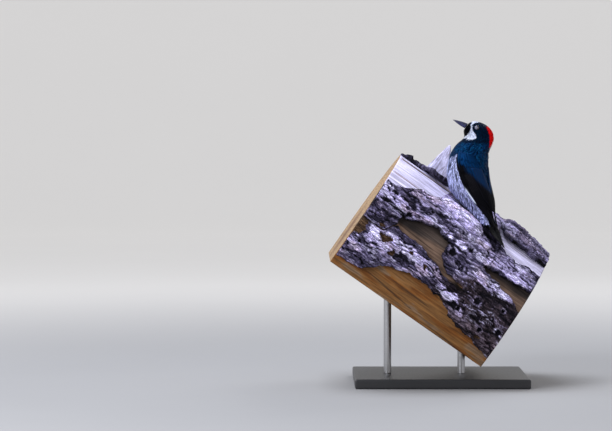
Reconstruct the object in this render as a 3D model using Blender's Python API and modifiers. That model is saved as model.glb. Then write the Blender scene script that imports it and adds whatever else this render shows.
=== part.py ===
"""Acorn woodpecker, a life-size still model: a female clinging to a cut length of a leaning dead trunk.

The bird is one lofted body parted by thin cuts into head, neck, trunk and tail, with folded wings laid
over it, and bill, eyes, legs, toes and claws as pieces of their own. The trunk's sawn length carries
plates of bark, and stands on two rods and a flat base. All lengths are in metres, +Z up. The bird's left
side faces -Y and it looks towards -X.
"""

import math

import bmesh
import bpy
import numpy as np
from mathutils import Vector

MM = 0.001
GAP = 0.35 * MM  # air between neighbouring solids

# ---- Bird: driving dimensions -------------------------------------------------------------------
BODY_YAW = math.radians(35)  # the back is turned this far towards the viewer's side
HEAD_YAW = math.radians(10)  # the head looks back the other way by the difference
YAW_FROM, YAW_TO = 5.0, 9.0  # stations between which the neck twists
TAIL_REACH = 49 * MM  # the tail tip lies this far behind the body's upright axis
WING_THICK = 2.8 * MM
WING_EDGE = 0.9 * MM
EYE_RADIUS = 4.4 * MM
EYE_AT = (-0.5, 10.4, 185.2)  # forward, left and up, in millimetres
BILL_TIP = (37.8, 197.6)  # forward and up, in millimetres
TARSUS_RADIUS = 1.35 * MM
TOE_RADIUS = 1.15 * MM
PAD_RADIUS = 3.1 * MM
PAD_HEIGHT = 1.4 * MM
CLAW_LENGTH = 6.0 * MM

# Stations of the body, bill to tail tip, in millimetres above the tail tip. Each names the throat-side
# point (forward, up), the back-side point (forward, up), the half width, and how far the widest place
# sits towards the back (positive) or the belly (negative).
STATIONS = (
    ("bill base", (19.0, 184.6), (14.6, 191.2), 5.2, 0.0),
    ("lores", (20.8, 180.8), (10.2, 193.4), 9.2, 0.05),
    ("forehead", (20.7, 177.6), (2.0, 194.6), 12.4, 0.12),
    ("eye", (20.3, 174.8), (-8.2, 191.8), 13.8, 0.15),
    ("crown", (20.3, 172.2), (-17.2, 185.8), 14.3, 0.1),
    ("nape", (21.2, 169.4), (-22.8, 177.4), 15.2, 0.0),
    ("collar", (24.0, 166.2), (-23.8, 167.5), 17.0, 0.0),
    ("neck", (30.5, 161.6), (-20.5, 157.5), 20.5, 0.0),
    ("shoulders", (38.5, 155.0), (-15.8, 149.5), 24.2, 0.0),
    ("breast", (44.8, 146.5), (-13.2, 141.0), 26.6, 0.0),
    ("keel", (49.0, 134.5), (-12.4, 130.5), 28.2, 0.0),
    ("chest", (50.6, 120.5), (-13.2, 117.5), 29.0, 0.0),
    ("belly", (48.6, 106.0), (-15.4, 103.0), 28.6, 0.0),
    ("low belly", (40.6, 91.2), (-18.6, 88.0), 28.0, -0.06),
    ("flanks", (26.6, 79.2), (-21.6, 73.5), 24.8, -0.04),
    ("vent", (9.8, 65.4), (-24.0, 59.5), 20.4, -0.04),
    ("rump", (-6.4, 48.6), (-26.0, 46.5), 16.4, -0.08),
    ("tail coverts", (-20.5, 35.6), (-29.0, 36.0), 14.6, -0.1),
    ("mid tail", (-29.2, 24.2), (-32.8, 25.8), 15.2, -0.1),
    ("low tail", (-39.4, 12.4), (-41.3, 13.6), 10.4, -0.1),
    ("tail tip", (-49.1, 0.9), (-49.9, 1.6), 2.6, 0.0),
)
NECK_CUT, TRUNK_CUT, TAIL_CUT = 6.0, 7.5, 17.0  # stations where the body is parted
AROUND = 26  # points round each ring
RING_STEP = 0.5  # stations between rings

# Folded wing: station, lower edge and upper edge in degrees round from the keel of the breast.
WING_EDGES = (
    (8.2, 76, 126),
    (9.0, 80, 140),
    (10.0, 88, 152),
    (11.0, 96, 162),
    (12.0, 101, 170),
    (13.0, 106, 175),
    (14.5, 114, 177.5),
    (16.0, 119, 178),
    (17.0, 121, 178),
    (17.8, 130, 178),
)

# ---- Trunk: driving dimensions ------------------------------------------------------------------
TRUNK_SLOPE = math.radians(35)
TRUNK_RADIUS = 155 * MM  # over the bark
BARK_THICK = 9.5 * MM
TRUNK_LENGTH = 280 * MM
SAWN_BELOW_AXIS = 50 * MM  # the flat sawn underside
TRUNK_CREST = (5 * MM, 70 * MM)  # a point of the top line at mid length: X, and height over the tail tip
TRUNK_BEHIND = 100.7 * MM  # the trunk's axis is this far behind the tail tip
WOOD_STEPS = 44  # points round the bare wood
SPLINTER_HEIGHT = 59.5 * MM  # of the torn fin, over the bare wood

# ---- Stand --------------------------------------------------------------------------------------
BASE_SIZE = (270 * MM, 220 * MM, 15 * MM)
BASE_BEVEL = 2.5 * MM
BASE_CLEARANCE = 22 * MM  # from the trunk's lowest corner down to the base
ROD_RADIUS = 6 * MM
ROD_OFFSETS = (-82 * MM, 34 * MM)  # along X from the base's centre


# ---- Small helpers ------------------------------------------------------------------------------
def clear_scene():
    for obj in list(bpy.data.objects):
        bpy.data.objects.remove(obj)


def collection(name):
    made = bpy.data.collections.new(name)
    bpy.context.scene.collection.children.link(made)
    return made


def material(name, colour, roughness, metallic=0.0):
    made = bpy.data.materials.new(name)
    made.use_nodes = True
    shader = made.node_tree.nodes["Principled BSDF"]
    shader.inputs["Base Color"].default_value = (*colour, 1)
    shader.inputs["Roughness"].default_value = roughness
    shader.inputs["Metallic"].default_value = metallic
    return made


def place(name, data, finish):
    """Adds an object for this mesh or curve, with its material, under the display's empty."""
    obj = bpy.data.objects.new(name, data)
    parts.objects.link(obj)
    data.materials.append(finish)
    obj.parent = display
    return obj


def mesh_object(name, points, faces, finish, sharp_deg=40):
    """A smooth-shaded mesh object with its faces turned outwards."""
    mesh = bpy.data.meshes.new(name)
    mesh.from_pydata([tuple(p) for p in points], [], faces)
    bm = bmesh.new()
    bm.from_mesh(mesh)
    bmesh.ops.remove_doubles(bm, verts=bm.verts, dist=0.00001)
    bmesh.ops.recalc_face_normals(bm, faces=bm.faces)
    bm.to_mesh(mesh)
    bm.free()
    mesh.shade_smooth()
    mesh.set_sharp_from_angle(angle=math.radians(sharp_deg))
    return place(name, mesh, finish)


def grid_faces(rows, columns, wrap=False, start=0):
    """Quads between neighbouring rows of points, going round if wrap is set."""
    last = columns if wrap else columns - 1
    return [
        (
            start + r * columns + c,
            start + r * columns + (c + 1) % columns,
            start + (r + 1) * columns + (c + 1) % columns,
            start + (r + 1) * columns + c,
        )
        for r in range(rows - 1)
        for c in range(last)
    ]


def loft(name, rings, finish, sharp_deg=40):
    """A closed body through rings of points, with a flat cap at each end."""
    rows, columns = len(rings), len(rings[0])
    faces = grid_faces(rows, columns, wrap=True)
    faces.append(tuple(range(columns)))
    faces.append(tuple((rows - 1) * columns + c for c in range(columns)))
    return mesh_object(name, np.concatenate(rings), faces, finish, sharp_deg)


def slab(name, inner, outer, finish, sharp_deg=40):
    """A closed shell between two grids of the same size, walled round its border."""
    rows, columns = inner.shape[:2]
    start = rows * columns
    faces = grid_faces(rows, columns) + grid_faces(rows, columns, start=start)
    border = [c for c in range(columns)]
    border += [r * columns + columns - 1 for r in range(1, rows)]
    border += [(rows - 1) * columns + c for c in range(columns - 2, -1, -1)]
    border += [r * columns for r in range(rows - 2, 0, -1)]
    for here, after in zip(border, border[1:] + border[:1]):
        faces.append((here, after, start + after, start + here))
    points = np.concatenate([inner.reshape(-1, 3), outer.reshape(-1, 3)])
    return mesh_object(name, points, faces, finish, sharp_deg)


def wire(name, points, radii, finish):
    """A tube through points, each with its own radius."""
    curve = bpy.data.curves.new(name, "CURVE")
    curve.dimensions = "3D"
    curve.bevel_depth = 1.0
    curve.bevel_resolution = 1
    curve.use_fill_caps = True
    spline = curve.splines.new("POLY")
    spline.points.add(len(points) - 1)
    for point, place_at, radius in zip(spline.points, points, radii):
        point.co = (*place_at, 1)
        point.radius = radius
    return place(name, curve, finish)


def cut(obj, cutter):
    """Takes the cutter's shape out of the object, and hides the cutter."""
    cutter.hide_render = True
    cutter.display_type = "WIRE"
    if cutter.name in parts.objects:
        parts.objects.unlink(cutter)
        cutters.objects.link(cutter)
    modifier = obj.modifiers.new("cut_" + cutter.name, "BOOLEAN")
    modifier.operation = "DIFFERENCE"
    modifier.object = cutter


# ---- The bird's body ----------------------------------------------------------------------------
def spline(values, at):
    """Catmull-Rom curve through equally spaced values, read at the stations in at."""
    values = np.asarray(values, float)
    last = len(values) - 1
    at = np.clip(np.asarray(at, float), 0, last)
    low = np.minimum(at.astype(int), last - 1)
    t = at - low
    before = values[np.maximum(low - 1, 0)]
    first, second = values[low], values[low + 1]
    after = values[np.minimum(low + 2, last)]
    slope_first, slope_second = (second - before) / 2, (after - first) / 2
    return (
        (2 * t**3 - 3 * t**2 + 1) * first
        + (t**3 - 2 * t**2 + t) * slope_first
        + (3 * t**2 - 2 * t**3) * second
        + (t**3 - t**2) * slope_second
    )


def yaw_at(station):
    """The heading at each station: the head's, turning smoothly to the body's along the neck."""
    t = np.clip((np.asarray(station, float) - YAW_FROM) / (YAW_TO - YAW_FROM), 0, 1)
    return HEAD_YAW + (BODY_YAW - HEAD_YAW) * t * t * (3 - 2 * t)


def turned(forward, left, up, yaw):
    """Millimetres forward, left and up in the bird to metres in the display's frame."""
    x = -(forward * np.cos(yaw) + left * np.sin(yaw))
    y = forward * np.sin(yaw) - left * np.cos(yaw)
    return np.stack([x * MM, y * MM + TAIL_REACH * math.sin(BODY_YAW), up * MM + 0 * x], axis=-1)


def body_surface(station, around):
    """A point of the body for each station and angle, from 0 at the keel, 90 degrees on the left side,
    to 180 degrees along the back: an ellipse in the plane of the station, whose widest place is shifted."""
    rows = {
        "low_f": [s[1][0] for s in STATIONS],
        "low_z": [s[1][1] for s in STATIONS],
        "back_f": [s[2][0] for s in STATIONS],
        "back_z": [s[2][1] for s in STATIONS],
        "wide": [s[3] for s in STATIONS],
        "shift": [s[4] for s in STATIONS],
    }
    at = {key: spline(values, station) for key, values in rows.items()}
    share = (1 - np.cos(around)) / 2  # 0 at the keel, 1 at the back
    forward = at["low_f"] + (at["back_f"] - at["low_f"]) * share
    up = at["low_z"] + (at["back_z"] - at["low_z"]) * share
    left = at["wide"] * np.sin(around - at["shift"] * np.sin(around))
    return turned(forward, left, up, yaw_at(station))


def body_normal(station, around):
    """The outward direction, from small steps along and round the body."""
    step = 0.02
    along = body_surface(station + step, around) - body_surface(station - step, around)
    round_it = body_surface(station, around + step) - body_surface(station, around - step)
    normal = np.cross(along, round_it)
    return normal / np.linalg.norm(normal, axis=-1, keepdims=True)


def ring(station):
    around = np.linspace(0, 2 * np.pi, AROUND, endpoint=False)
    station = np.full(AROUND, float(station))
    return body_surface(station, around)


def plane_normal(points):
    """The direction across a ring, towards the next station."""
    centre = points.mean(axis=0)
    arms = points - centre
    normal = np.cross(arms, np.roll(arms, -1, axis=0)).sum(axis=0)
    return normal / np.linalg.norm(normal)


def body_rings(first, last, cut_first):
    """Rings from one station to another. After a cut, the first ring steps back by the gap."""
    count = int(round((last - first) / RING_STEP)) + 1
    rings = [ring(s) for s in np.linspace(first, last, count)]
    if cut_first:
        towards = rings[1].mean(axis=0) - rings[0].mean(axis=0)
        normal = plane_normal(rings[0])
        normal = normal if normal @ towards > 0 else -normal
        rings[0] = rings[0] + normal * GAP
    return rings


def build_body():
    tip = len(STATIONS) - 1
    loft("neck", body_rings(NECK_CUT, TRUNK_CUT, True), feathers_blue)
    loft("tail", body_rings(TAIL_CUT, tip, True), feathers_black)
    loft("trunk", body_rings(TRUNK_CUT, TAIL_CUT, True), feathers_blue)
    head = loft("head", body_rings(0, NECK_CUT, False), feathers_white)
    for side, sign in (("left", 1), ("right", -1)):
        forward, left, up = EYE_AT
        centre = turned(forward, sign * left, up, HEAD_YAW)
        eye = uv_sphere("eye_" + side, EYE_RADIUS, 16, 10, eye_white)
        eye.location = centre
        socket = uv_sphere("socket_" + side, EYE_RADIUS + GAP, 16, 10, eye_white)
        socket.location = centre
        cut(head, socket)


def uv_sphere(name, radius, segments, rings, finish):
    mesh = bpy.data.meshes.new(name)
    bm = bmesh.new()
    bmesh.ops.create_uvsphere(bm, u_segments=segments, v_segments=rings, radius=radius)
    bm.to_mesh(mesh)
    bm.free()
    mesh.shade_smooth()
    return place(name, mesh, finish)


# ---- Bill ---------------------------------------------------------------------------------------
def bill_half(name, upper):
    """One mandible: half-oval rings that shrink along a straight axis to a small chisel tip."""
    rings = []
    (_, low, back, _, _) = STATIONS[0]
    start = 0.35  # mm in front of the feathers
    edge_share = 0.42  # the mouth's line runs this far up the bill's base
    for t in np.linspace(0, 1, 8):
        reach = 1 - t
        top = np.array(back) * reach + np.array(BILL_TIP) * t
        bottom = np.array(low) * reach + np.array(BILL_TIP) * t
        axis = np.array([math.cos(math.radians(25)), math.sin(math.radians(25))])
        top = top + axis * start + np.array([0, 0.45 * math.sin(math.pi * t) + 0.25 * t])
        bottom = bottom + axis * start - np.array([0, 0.3 * t])
        mouth = bottom + (top - bottom) * edge_share
        gap = (top - bottom) / np.linalg.norm(top - bottom) * 0.18
        half_width = 4.1 * reach**0.85 + 0.45
        rim, crest = (mouth + gap, top) if upper else (mouth - gap, bottom)
        angle = np.linspace(0, np.pi, 9)
        share = np.sin(angle) ** 0.9
        points = rim + (crest - rim) * share[:, None]
        rings.append(turned(points[:, 0], half_width * np.cos(angle), points[:, 1], HEAD_YAW))
    loft(name, rings, horn)


# ---- Wings --------------------------------------------------------------------------------------
def build_wing(side, sign):
    """A shell that hugs the body between two edge lines, rounded at the wrist and narrow at the tip."""
    table = np.array(WING_EDGES, float)
    rows, columns = 20, 8
    station = np.linspace(table[0, 0], table[-1, 0], rows)
    low = np.radians(np.interp(station, table[:, 0], table[:, 1]))
    high = np.radians(np.interp(station, table[:, 0], table[:, 2]))
    along = np.linspace(0, 1, rows)
    ends = np.minimum(1, np.minimum(along / 0.16, (1 - along) / 0.22))
    fullness = np.sqrt(1 - (1 - ends) ** 2) * 0.85 + 0.15
    anchor = np.where(along < 0.5, 0.55, 0.8)  # the wrist rounds about mid height, the tip near the back
    middle = low + (high - low) * anchor
    low, high = middle + (low - middle) * fullness, middle + (high - middle) * fullness
    across = np.linspace(0, 1, columns)
    around = low[:, None] + (high - low)[:, None] * across[None, :]
    stations = np.repeat(station[:, None], columns, axis=1)
    bulge = (1 - (2 * across - 1) ** 4)[None, :] * (1 - (2 * along - 1) ** 6)[:, None]
    thick = WING_EDGE + (WING_THICK - WING_EDGE) * bulge
    around = sign * around
    base = body_surface(stations, around)
    normal = body_normal(stations, around)
    under = GAP + 0.25 * MM
    inner = base + normal * under
    outer = base + normal * (under + thick[..., None])
    slab("wing_" + side, inner, outer, feathers_black)


# ---- Legs ---------------------------------------------------------------------------------------
def toe_line(ball, heading_deg, sign, length, height):
    """Points over the bark from near the ball of the foot, at an angle from straight uphill."""
    uphill, outward = bark_directions(ball, sign)
    angle = math.radians(heading_deg)
    direction = uphill * math.cos(angle) + outward * math.sin(angle)
    count = max(3, int(round(length / (3.2 * MM))) + 1)
    reach = np.linspace(PAD_RADIUS + 1.1 * MM, PAD_RADIUS + 1.1 * MM + length, count)
    return [on_bark(ball + direction * r, height) for r in reach], direction


def build_leg(side, sign):
    """Bare tarsus below the belly feathers, ball of the foot, four toes and their claws."""
    heel = on_bark(turned(2.0, sign * 13.0, 57.0, BODY_YAW), 2.5 * MM)
    ball = on_bark(turned(18.5, sign * 13.0, 70.0, BODY_YAW), PAD_HEIGHT + 2 * GAP)

    run = ball - heel
    length = np.linalg.norm(run)
    run = run / length
    start = heel + run * 1.5 * MM
    end = ball - run * (PAD_RADIUS + GAP)
    middle = (start + end) / 2
    wire(
        f"leg_{side}_tarsus",
        [start, middle, end],
        [TARSUS_RADIUS * 1.1, TARSUS_RADIUS * 0.9, TARSUS_RADIUS],
        scales,
    )
    pad = uv_sphere(f"leg_{side}_foot", 1.0, 12, 7, scales)
    pad.scale = (PAD_RADIUS, PAD_RADIUS, PAD_HEIGHT)
    pad.location = ball
    uphill, outward = bark_directions(ball, sign)
    pad.rotation_mode = "QUATERNION"
    pad.rotation_quaternion = Vector(np.cross(uphill, outward)).to_track_quat("Z", "Y")

    toes = (("inner", -26, 9.5), ("middle", 10, 13.5), ("outer", 44, 9.5), ("hind", 222, 4.5))
    for toe, heading, millimetres in toes:
        name = f"leg_{side}_toe_{toe}"
        height = TOE_RADIUS + GAP
        line, direction = toe_line(ball, heading, sign, millimetres * MM, height)
        shrink = np.linspace(1.0, 0.8, len(line))
        wire(name, line, TOE_RADIUS * shrink, scales)
        build_claw(name.replace("toe", "claw"), line[-1], direction)


def build_claw(name, toe_end, direction):
    """A hook that goes on from the toe, arches over and comes down on the bark."""
    points, radii = [], []
    for t in np.linspace(0, 1, 6):
        reach = GAP * 1.1 + CLAW_LENGTH * 0.86 * math.sin(t * math.pi / 2)
        lift = 1.3 * MM * math.sin(t * math.pi) * (1 - 0.3 * t)
        radius = TOE_RADIUS * (0.78 - 0.52 * t)
        height = (TOE_RADIUS + GAP) * (1 - t) + (0.3 * MM + GAP) * t + lift
        points.append(on_bark(toe_end + direction * reach, height))
        radii.append(radius)
    wire(name, points, radii, horn)


# ---- Trunk length -------------------------------------------------------------------------------
ALONG = np.array([math.cos(TRUNK_SLOPE), 0, -math.sin(TRUNK_SLOPE)])  # downhill
OUT = np.array([math.sin(TRUNK_SLOPE), 0, math.cos(TRUNK_SLOPE)])  # up, square to the axis
NEAR = np.array([0, -1.0, 0])  # the bird's side
AXIS_POINT = np.array([TRUNK_CREST[0], TRUNK_BEHIND, TRUNK_CREST[1]]) - OUT * TRUNK_RADIUS


def trunk_point(along, turn, radius):
    """A point by its place along the axis, its angle from the top line towards the bird, and radius."""
    along, turn, radius = np.broadcast_arrays(along, turn, radius)
    return (
        AXIS_POINT
        + along[..., None] * ALONG
        + (radius * np.cos(turn))[..., None] * OUT
        + (radius * np.sin(turn))[..., None] * NEAR
    )


def on_bark(point, height):
    """The point moved square to the trunk's axis until it stands this high over the bark."""
    offset = np.asarray(point) - AXIS_POINT
    radial = offset - ALONG * (offset @ ALONG)
    return np.asarray(point) + radial / np.linalg.norm(radial) * (
        TRUNK_RADIUS + height - np.linalg.norm(radial)
    )


def bark_directions(point, sign):
    """Uphill in the bird's own plane, and outwards from the bird, both lying on the bark."""
    offset = np.asarray(point) - AXIS_POINT
    normal = offset - ALONG * (offset @ ALONG)
    normal = normal / np.linalg.norm(normal)
    ahead = np.array([-math.cos(BODY_YAW), math.sin(BODY_YAW), 0])
    left = np.array([-math.sin(BODY_YAW), -math.cos(BODY_YAW), 0])
    uphill = ahead - normal * (ahead @ normal)
    outward = sign * left - normal * (sign * left @ normal)
    return uphill / np.linalg.norm(uphill), outward / np.linalg.norm(outward)


def bark_relief(along, turn):
    """Low swells of the bark, flattened where the bird clings and dented a little under the tail."""
    swell = np.sin(along / (17 * MM) + 2.3 * turn) * np.sin(along / (41 * MM) - 4.1 * turn + 0.8)
    off_bird = np.clip(np.abs(along - 18 * MM) / (62 * MM) - 1, 0, 1)
    off_side = np.clip(np.abs(turn - 0.52) / 0.42 - 1, 0, 1)
    dent = np.exp(-(((along - 56 * MM) / (22 * MM)) ** 2) - ((turn - 0.68) / 0.13) ** 2)
    return 2.6 * MM * swell * np.maximum(off_bird, off_side) - 1.6 * MM * dent


def widest_step(turn):
    """For each point of a grid of angles, the largest change of angle to any of its neighbours, so
    that flat faces between them stay clear of the round wood."""
    padded = np.pad(turn, 1, mode="edge")
    rows, columns = turn.shape
    steps = [
        np.abs(padded[1 + i : 1 + i + rows, 1 + j : 1 + j + columns] - turn)
        for i in (-1, 0, 1)
        for j in (-1, 0, 1)
    ]
    return np.max(steps, axis=0)


def bark_plate(
    name, a_from, a_to, edges, lift=((0, 0),), rise=(0.35, 1.0), drop=0.0, columns=8, step=13.0
):
    """A curved plate of bark between two edge lines. edges rows: place along in mm, low and high angle
    in degrees. lift rows: place along, and how far the plate stands off the wood, in mm. It rises
    between the two shares of its width in rise, and sinks by the share drop to its free edge."""
    table, lift_table = np.array(edges, float), np.array(lift, float)
    rows = int(round((a_to - a_from) / step)) + 1
    place_mm = np.linspace(a_from, a_to, rows)
    low = np.radians(np.interp(place_mm, table[:, 0], table[:, 1]))
    high = np.radians(np.interp(place_mm, table[:, 0], table[:, 2]))
    across = np.linspace(0, 1, columns)
    turn = low[:, None] + (high - low)[:, None] * across
    along = np.repeat(place_mm[:, None] * MM, columns, axis=1)
    most = np.interp(place_mm, lift_table[:, 0], lift_table[:, 1])[:, None] * MM
    fallen = drop * np.clip((across - rise[1]) / max(1 - rise[1], 0.01), 0, 1)
    raised = most * np.clip((across - rise[0]) / (rise[1] - rise[0]), 0, 1) ** 1.5 * (1 - fallen)
    inner_radius = (TRUNK_RADIUS - BARK_THICK + raised) / np.cos(widest_step(turn) / 2)
    outer_radius = TRUNK_RADIUS + bark_relief(along, turn) + raised
    slab(
        name,
        trunk_point(along, turn, inner_radius),
        trunk_point(along, turn, outer_radius),
        bark,
        sharp_deg=50,
    )


def build_trunk_length():
    """The sawn length of wood with a flat underside, and its plates of bark."""
    wood_radius = TRUNK_RADIUS - BARK_THICK - 1.3 * GAP
    edge = math.acos(-SAWN_BELOW_AXIS / wood_radius)
    turn = np.linspace(-edge, edge, WOOD_STEPS)
    half = TRUNK_LENGTH / 2
    rings = [trunk_point(np.full(WOOD_STEPS, a), turn, wood_radius) for a in (-half, 0.0, half)]
    loft("perch_wood", rings, wood, sharp_deg=30)

    far = -math.degrees(math.acos(-SAWN_BELOW_AXIS / TRUNK_RADIUS))
    bark_plate(
        "perch_bark_saddle",
        -139,
        64,
        (
            (-139, 48, 61),
            (-124, 48.5, 61),
            (-105, 44.5, 61.5),
            (-92, 40, 63),
            (-82, 38, 62),
            (-68, 37, 59.4),
            (-54, 34, 57.8),
            (-41, 17, 56),
            (-32, 6, 55.5),
            (-18, -10, 58.3),
            (-2, -23, 59.5),
            (14, -26, 60),
            (25, 8, 59.6),
            (44, 12, 59),
            (54, 33, 58.8),
            (64, 36.5, 58.5),
        ),
        columns=10,
        step=9.0,
    )
    bark_plate(
        "perch_bark_near",
        64.6,
        139,
        ((64.6, 38, 58.5), (78, 42, 58), (92, 43, 57.5), (110, 41.4, 56.6), (139, 41.2, 55.5)),
        columns=4,
    )
    bark_plate(
        "perch_bark_crest",
        30,
        139,
        ((30, -28, 5), (42, -28, 8.5), (50, -28, 14), (58, -28, 25), (70, -28, 28.5), (139, -32, 29)),
        lift=((30, 5), (37, 5), (46, 3), (56, 7), (66, 10.5), (84, 9), (100, 6), (120, 2.5), (139, 0.5)),
        rise=(0.0, 0.5),
        drop=0.6,
        columns=7,
        step=10.0,
    )
    bark_plate(
        "perch_bark_shard",
        -112,
        -50,
        ((-112, -4.5, 3), (-96, -4.5, 9), (-78, -4.5, 15), (-62, -4.5, 17), (-50, -4.5, 10)),
        lift=((-112, 0), (-98, 1.5), (-84, 10), (-50, 10)),
        columns=5,
        step=10.0,
    )
    bark_plate(
        "perch_bark_left",
        -139,
        -90,
        ((-139, 61.8, 75.6), (-101, 62.3, 75.6), (-95, 63.6, 71), (-90, 64, 68.8)),
        columns=3,
        step=6.0,
    )
    bark_plate(
        "perch_bark_middle",
        -8,
        54,
        ((-8, 61.2, 68), (5, 61, 73.2), (21, 61, 75.8), (42, 61, 77.2), (54, 61, 77)),
        columns=4,
    )
    bark_plate(
        "perch_bark_lower",
        -139,
        54,
        (
            (-139, 76.8, 104),
            (-101, 76.8, 102.5),
            (-94, 71.8, 101.5),
            (-87, 69.8, 99),
            (-75, 70.6, 93.5),
            (-48, 71.2, 90),
            (-32, 72, 88.6),
            (-15, 74.4, 88),
            (-2, 76, 88.2),
            (25, 79, 90),
            (44, 80, 92),
            (54, 79, 95),
        ),
        columns=6,
        step=8.0,
    )
    bark_plate(
        "perch_bark_right",
        54.6,
        139,
        ((54.6, 62, 96), (75, 62, 98), (100, 63.8, 99.5), (118, 66.5, 101), (139, 71, 103)),
        columns=6,
    )
    bark_plate(
        "perch_bark_back",
        -139,
        139,
        (
            (-139, far, -14),
            (-80, far, -10),
            (-46, far, -12),
            (-20, far, -24),
            (10, far, -34),
            (139, far, -36),
        ),
        columns=10,
    )
    build_lump()
    build_splinter(wood_radius)


def build_lump():
    """A thick flake of bark that lies over the bark plate on the near side of the bird's foot. Its
    rows: place along, middle angle, half width in degrees, and height of the crest, in millimetres."""
    table = np.array(
        (
            (-52, 34.8, 1.6, 3.0),
            (-42, 35.4, 2.6, 7.0),
            (-32, 36.4, 3.4, 9.0),
            (-22, 37.6, 4.0, 10.5),
            (-8, 39.0, 4.6, 11.5),
            (8, 39.8, 4.6, 11.0),
            (19, 40.4, 4.0, 8.5),
            (27, 41.2, 2.2, 3.5),
        ),
        float,
    )
    place_mm = np.linspace(table[0, 0], table[-1, 0], 16)
    middle, half, crest = (spline_through(table[:, 0], table[:, k], place_mm) for k in (1, 2, 3))
    across = np.linspace(-1, 1, 9)
    turn = np.radians(middle[:, None] + half[:, None] * across)
    along = np.repeat(place_mm[:, None] * MM, 9, axis=1)
    lowest = (TRUNK_RADIUS + 1.6 * MM) / np.cos(widest_step(turn) / 2)
    height = 1.0 * MM + crest[:, None] * MM * np.sqrt(1 - np.abs(across) ** 2.4)
    slab(
        "perch_bark_lump",
        trunk_point(along, turn, lowest),
        trunk_point(along, turn, lowest + height),
        bark,
        sharp_deg=50,
    )


def spline_through(places, values, at):
    """Smooth values between listed places: linear, then softened by a short moving average."""
    fine = np.linspace(at[0], at[-1], 400)
    raw = np.interp(fine, places, values)
    kernel = np.hanning(61)
    padded = np.pad(raw, 30, mode="edge")
    smooth = np.convolve(padded, kernel / kernel.sum(), mode="valid")
    return np.interp(at, fine, smooth)


def build_splinter(wood_radius):
    """A torn fin of pale wood on the far side of the top line. It leans uphill and narrows to a point."""
    turn = math.radians(-7)
    rings = []
    for t in np.linspace(0, 1, 9):
        middle = (-70 - 14 * t) * MM
        half_length = (25 * (1 - t) ** 0.85 + 0.9) * MM
        half_thick = (3.6 * (1 - t) + 0.9) * MM
        radius = wood_radius + 0.6 * MM + SPLINTER_HEIGHT * t
        angle = np.linspace(0, 2 * np.pi, 12, endpoint=False)
        along = middle + half_length * np.cos(angle)
        sideways = half_thick * np.sin(angle)
        rings.append(trunk_point(along, turn + sideways / wood_radius, radius))
    loft("perch_splinter", rings, wood, sharp_deg=60)


# ---- Stand --------------------------------------------------------------------------------------
def underside_height(x):
    """The height of the sawn underside over a place along X."""
    middle = AXIS_POINT - OUT * SAWN_BELOW_AXIS
    return middle[2] - (x - middle[0]) * math.tan(TRUNK_SLOPE)


def build_stand():
    """A flat base under the trunk's middle, and two rods whose tops follow the sloping underside."""
    centre_x = AXIS_POINT[0] + (TRUNK_RADIUS - SAWN_BELOW_AXIS) / 2 * math.sin(TRUNK_SLOPE)
    lowest = (AXIS_POINT + ALONG * TRUNK_LENGTH / 2 - OUT * SAWN_BELOW_AXIS)[2]
    top = lowest - BASE_CLEARANCE
    length, width, height = BASE_SIZE
    mesh = bpy.data.meshes.new("stand_base")
    bm = bmesh.new()
    bmesh.ops.create_cube(bm, size=1.0)
    bmesh.ops.scale(bm, vec=(length, width, height), verts=bm.verts)
    bm.to_mesh(mesh)
    bm.free()
    base = place("stand_base", mesh, stand_paint)
    base.location = (centre_x, TRUNK_BEHIND, top - height / 2)
    bevel = base.modifiers.new("rounded", "BEVEL")
    bevel.width = BASE_BEVEL
    bevel.segments = 2
    for number, offset in enumerate(ROD_OFFSETS, 1):
        x = centre_x + offset
        foot = top + GAP
        mesh = bpy.data.meshes.new(f"stand_rod_{number}")
        bm = bmesh.new()
        bmesh.ops.create_cone(
            bm, cap_ends=True, segments=24, radius1=ROD_RADIUS, radius2=ROD_RADIUS, depth=1.0
        )
        for vert in bm.verts:
            head = underside_height(x + vert.co.x) - GAP
            vert.co.z = (head if vert.co.z > 0 else foot) - foot
        bm.to_mesh(mesh)
        bm.free()
        mesh.shade_smooth()
        mesh.set_sharp_from_angle(angle=math.radians(40))
        rod = place(f"stand_rod_{number}", mesh, steel)
        rod.location = (x, TRUNK_BEHIND, foot)


def centre_display():
    """Moves the whole display so that its box stands on the origin, centred over it."""
    bpy.context.view_layer.update()
    graph = bpy.context.evaluated_depsgraph_get()
    corners = []
    for obj in parts.objects:
        evaluated = obj.evaluated_get(graph)
        corners += [evaluated.matrix_world @ Vector(c) for c in evaluated.bound_box]
    corners = np.array([tuple(c) for c in corners])
    low, high = corners.min(axis=0), corners.max(axis=0)
    display.location = (-(low[0] + high[0]) / 2, -(low[1] + high[1]) / 2, -low[2])
    bpy.context.view_layer.update()


# ---- Build --------------------------------------------------------------------------------------
clear_scene()
parts = collection("acorn_woodpecker")
cutters = collection("cutters")
display = bpy.data.objects.new("display", None)
parts.objects.link(display)

feathers_blue = material("feathers_blue_black", (0.008, 0.03, 0.10), 0.45)
feathers_black = material("feathers_black", (0.006, 0.006, 0.009), 0.6)
feathers_white = material("feathers_white", (0.62, 0.62, 0.66), 0.8)
eye_white = material("eye_white", (0.75, 0.72, 0.68), 0.15)
horn = material("horn_grey", (0.06, 0.06, 0.09), 0.35)
scales = material("leg_scales", (0.16, 0.16, 0.15), 0.55)
bark = material("bark", (0.11, 0.095, 0.12), 0.9)
wood = material("dead_wood", (0.34, 0.24, 0.15), 0.8)
stand_paint = material("stand_base_black", (0.03, 0.03, 0.032), 0.4)
steel = material("stand_rod_steel", (0.45, 0.45, 0.46), 0.3, metallic=1.0)

build_body()
bill_half("bill_upper", upper=True)
bill_half("bill_lower", upper=False)
for side, sign in (("left", 1), ("right", -1)):
    build_wing(side, sign)
    build_leg(side, sign)
build_trunk_length()
build_stand()
centre_display()
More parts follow.
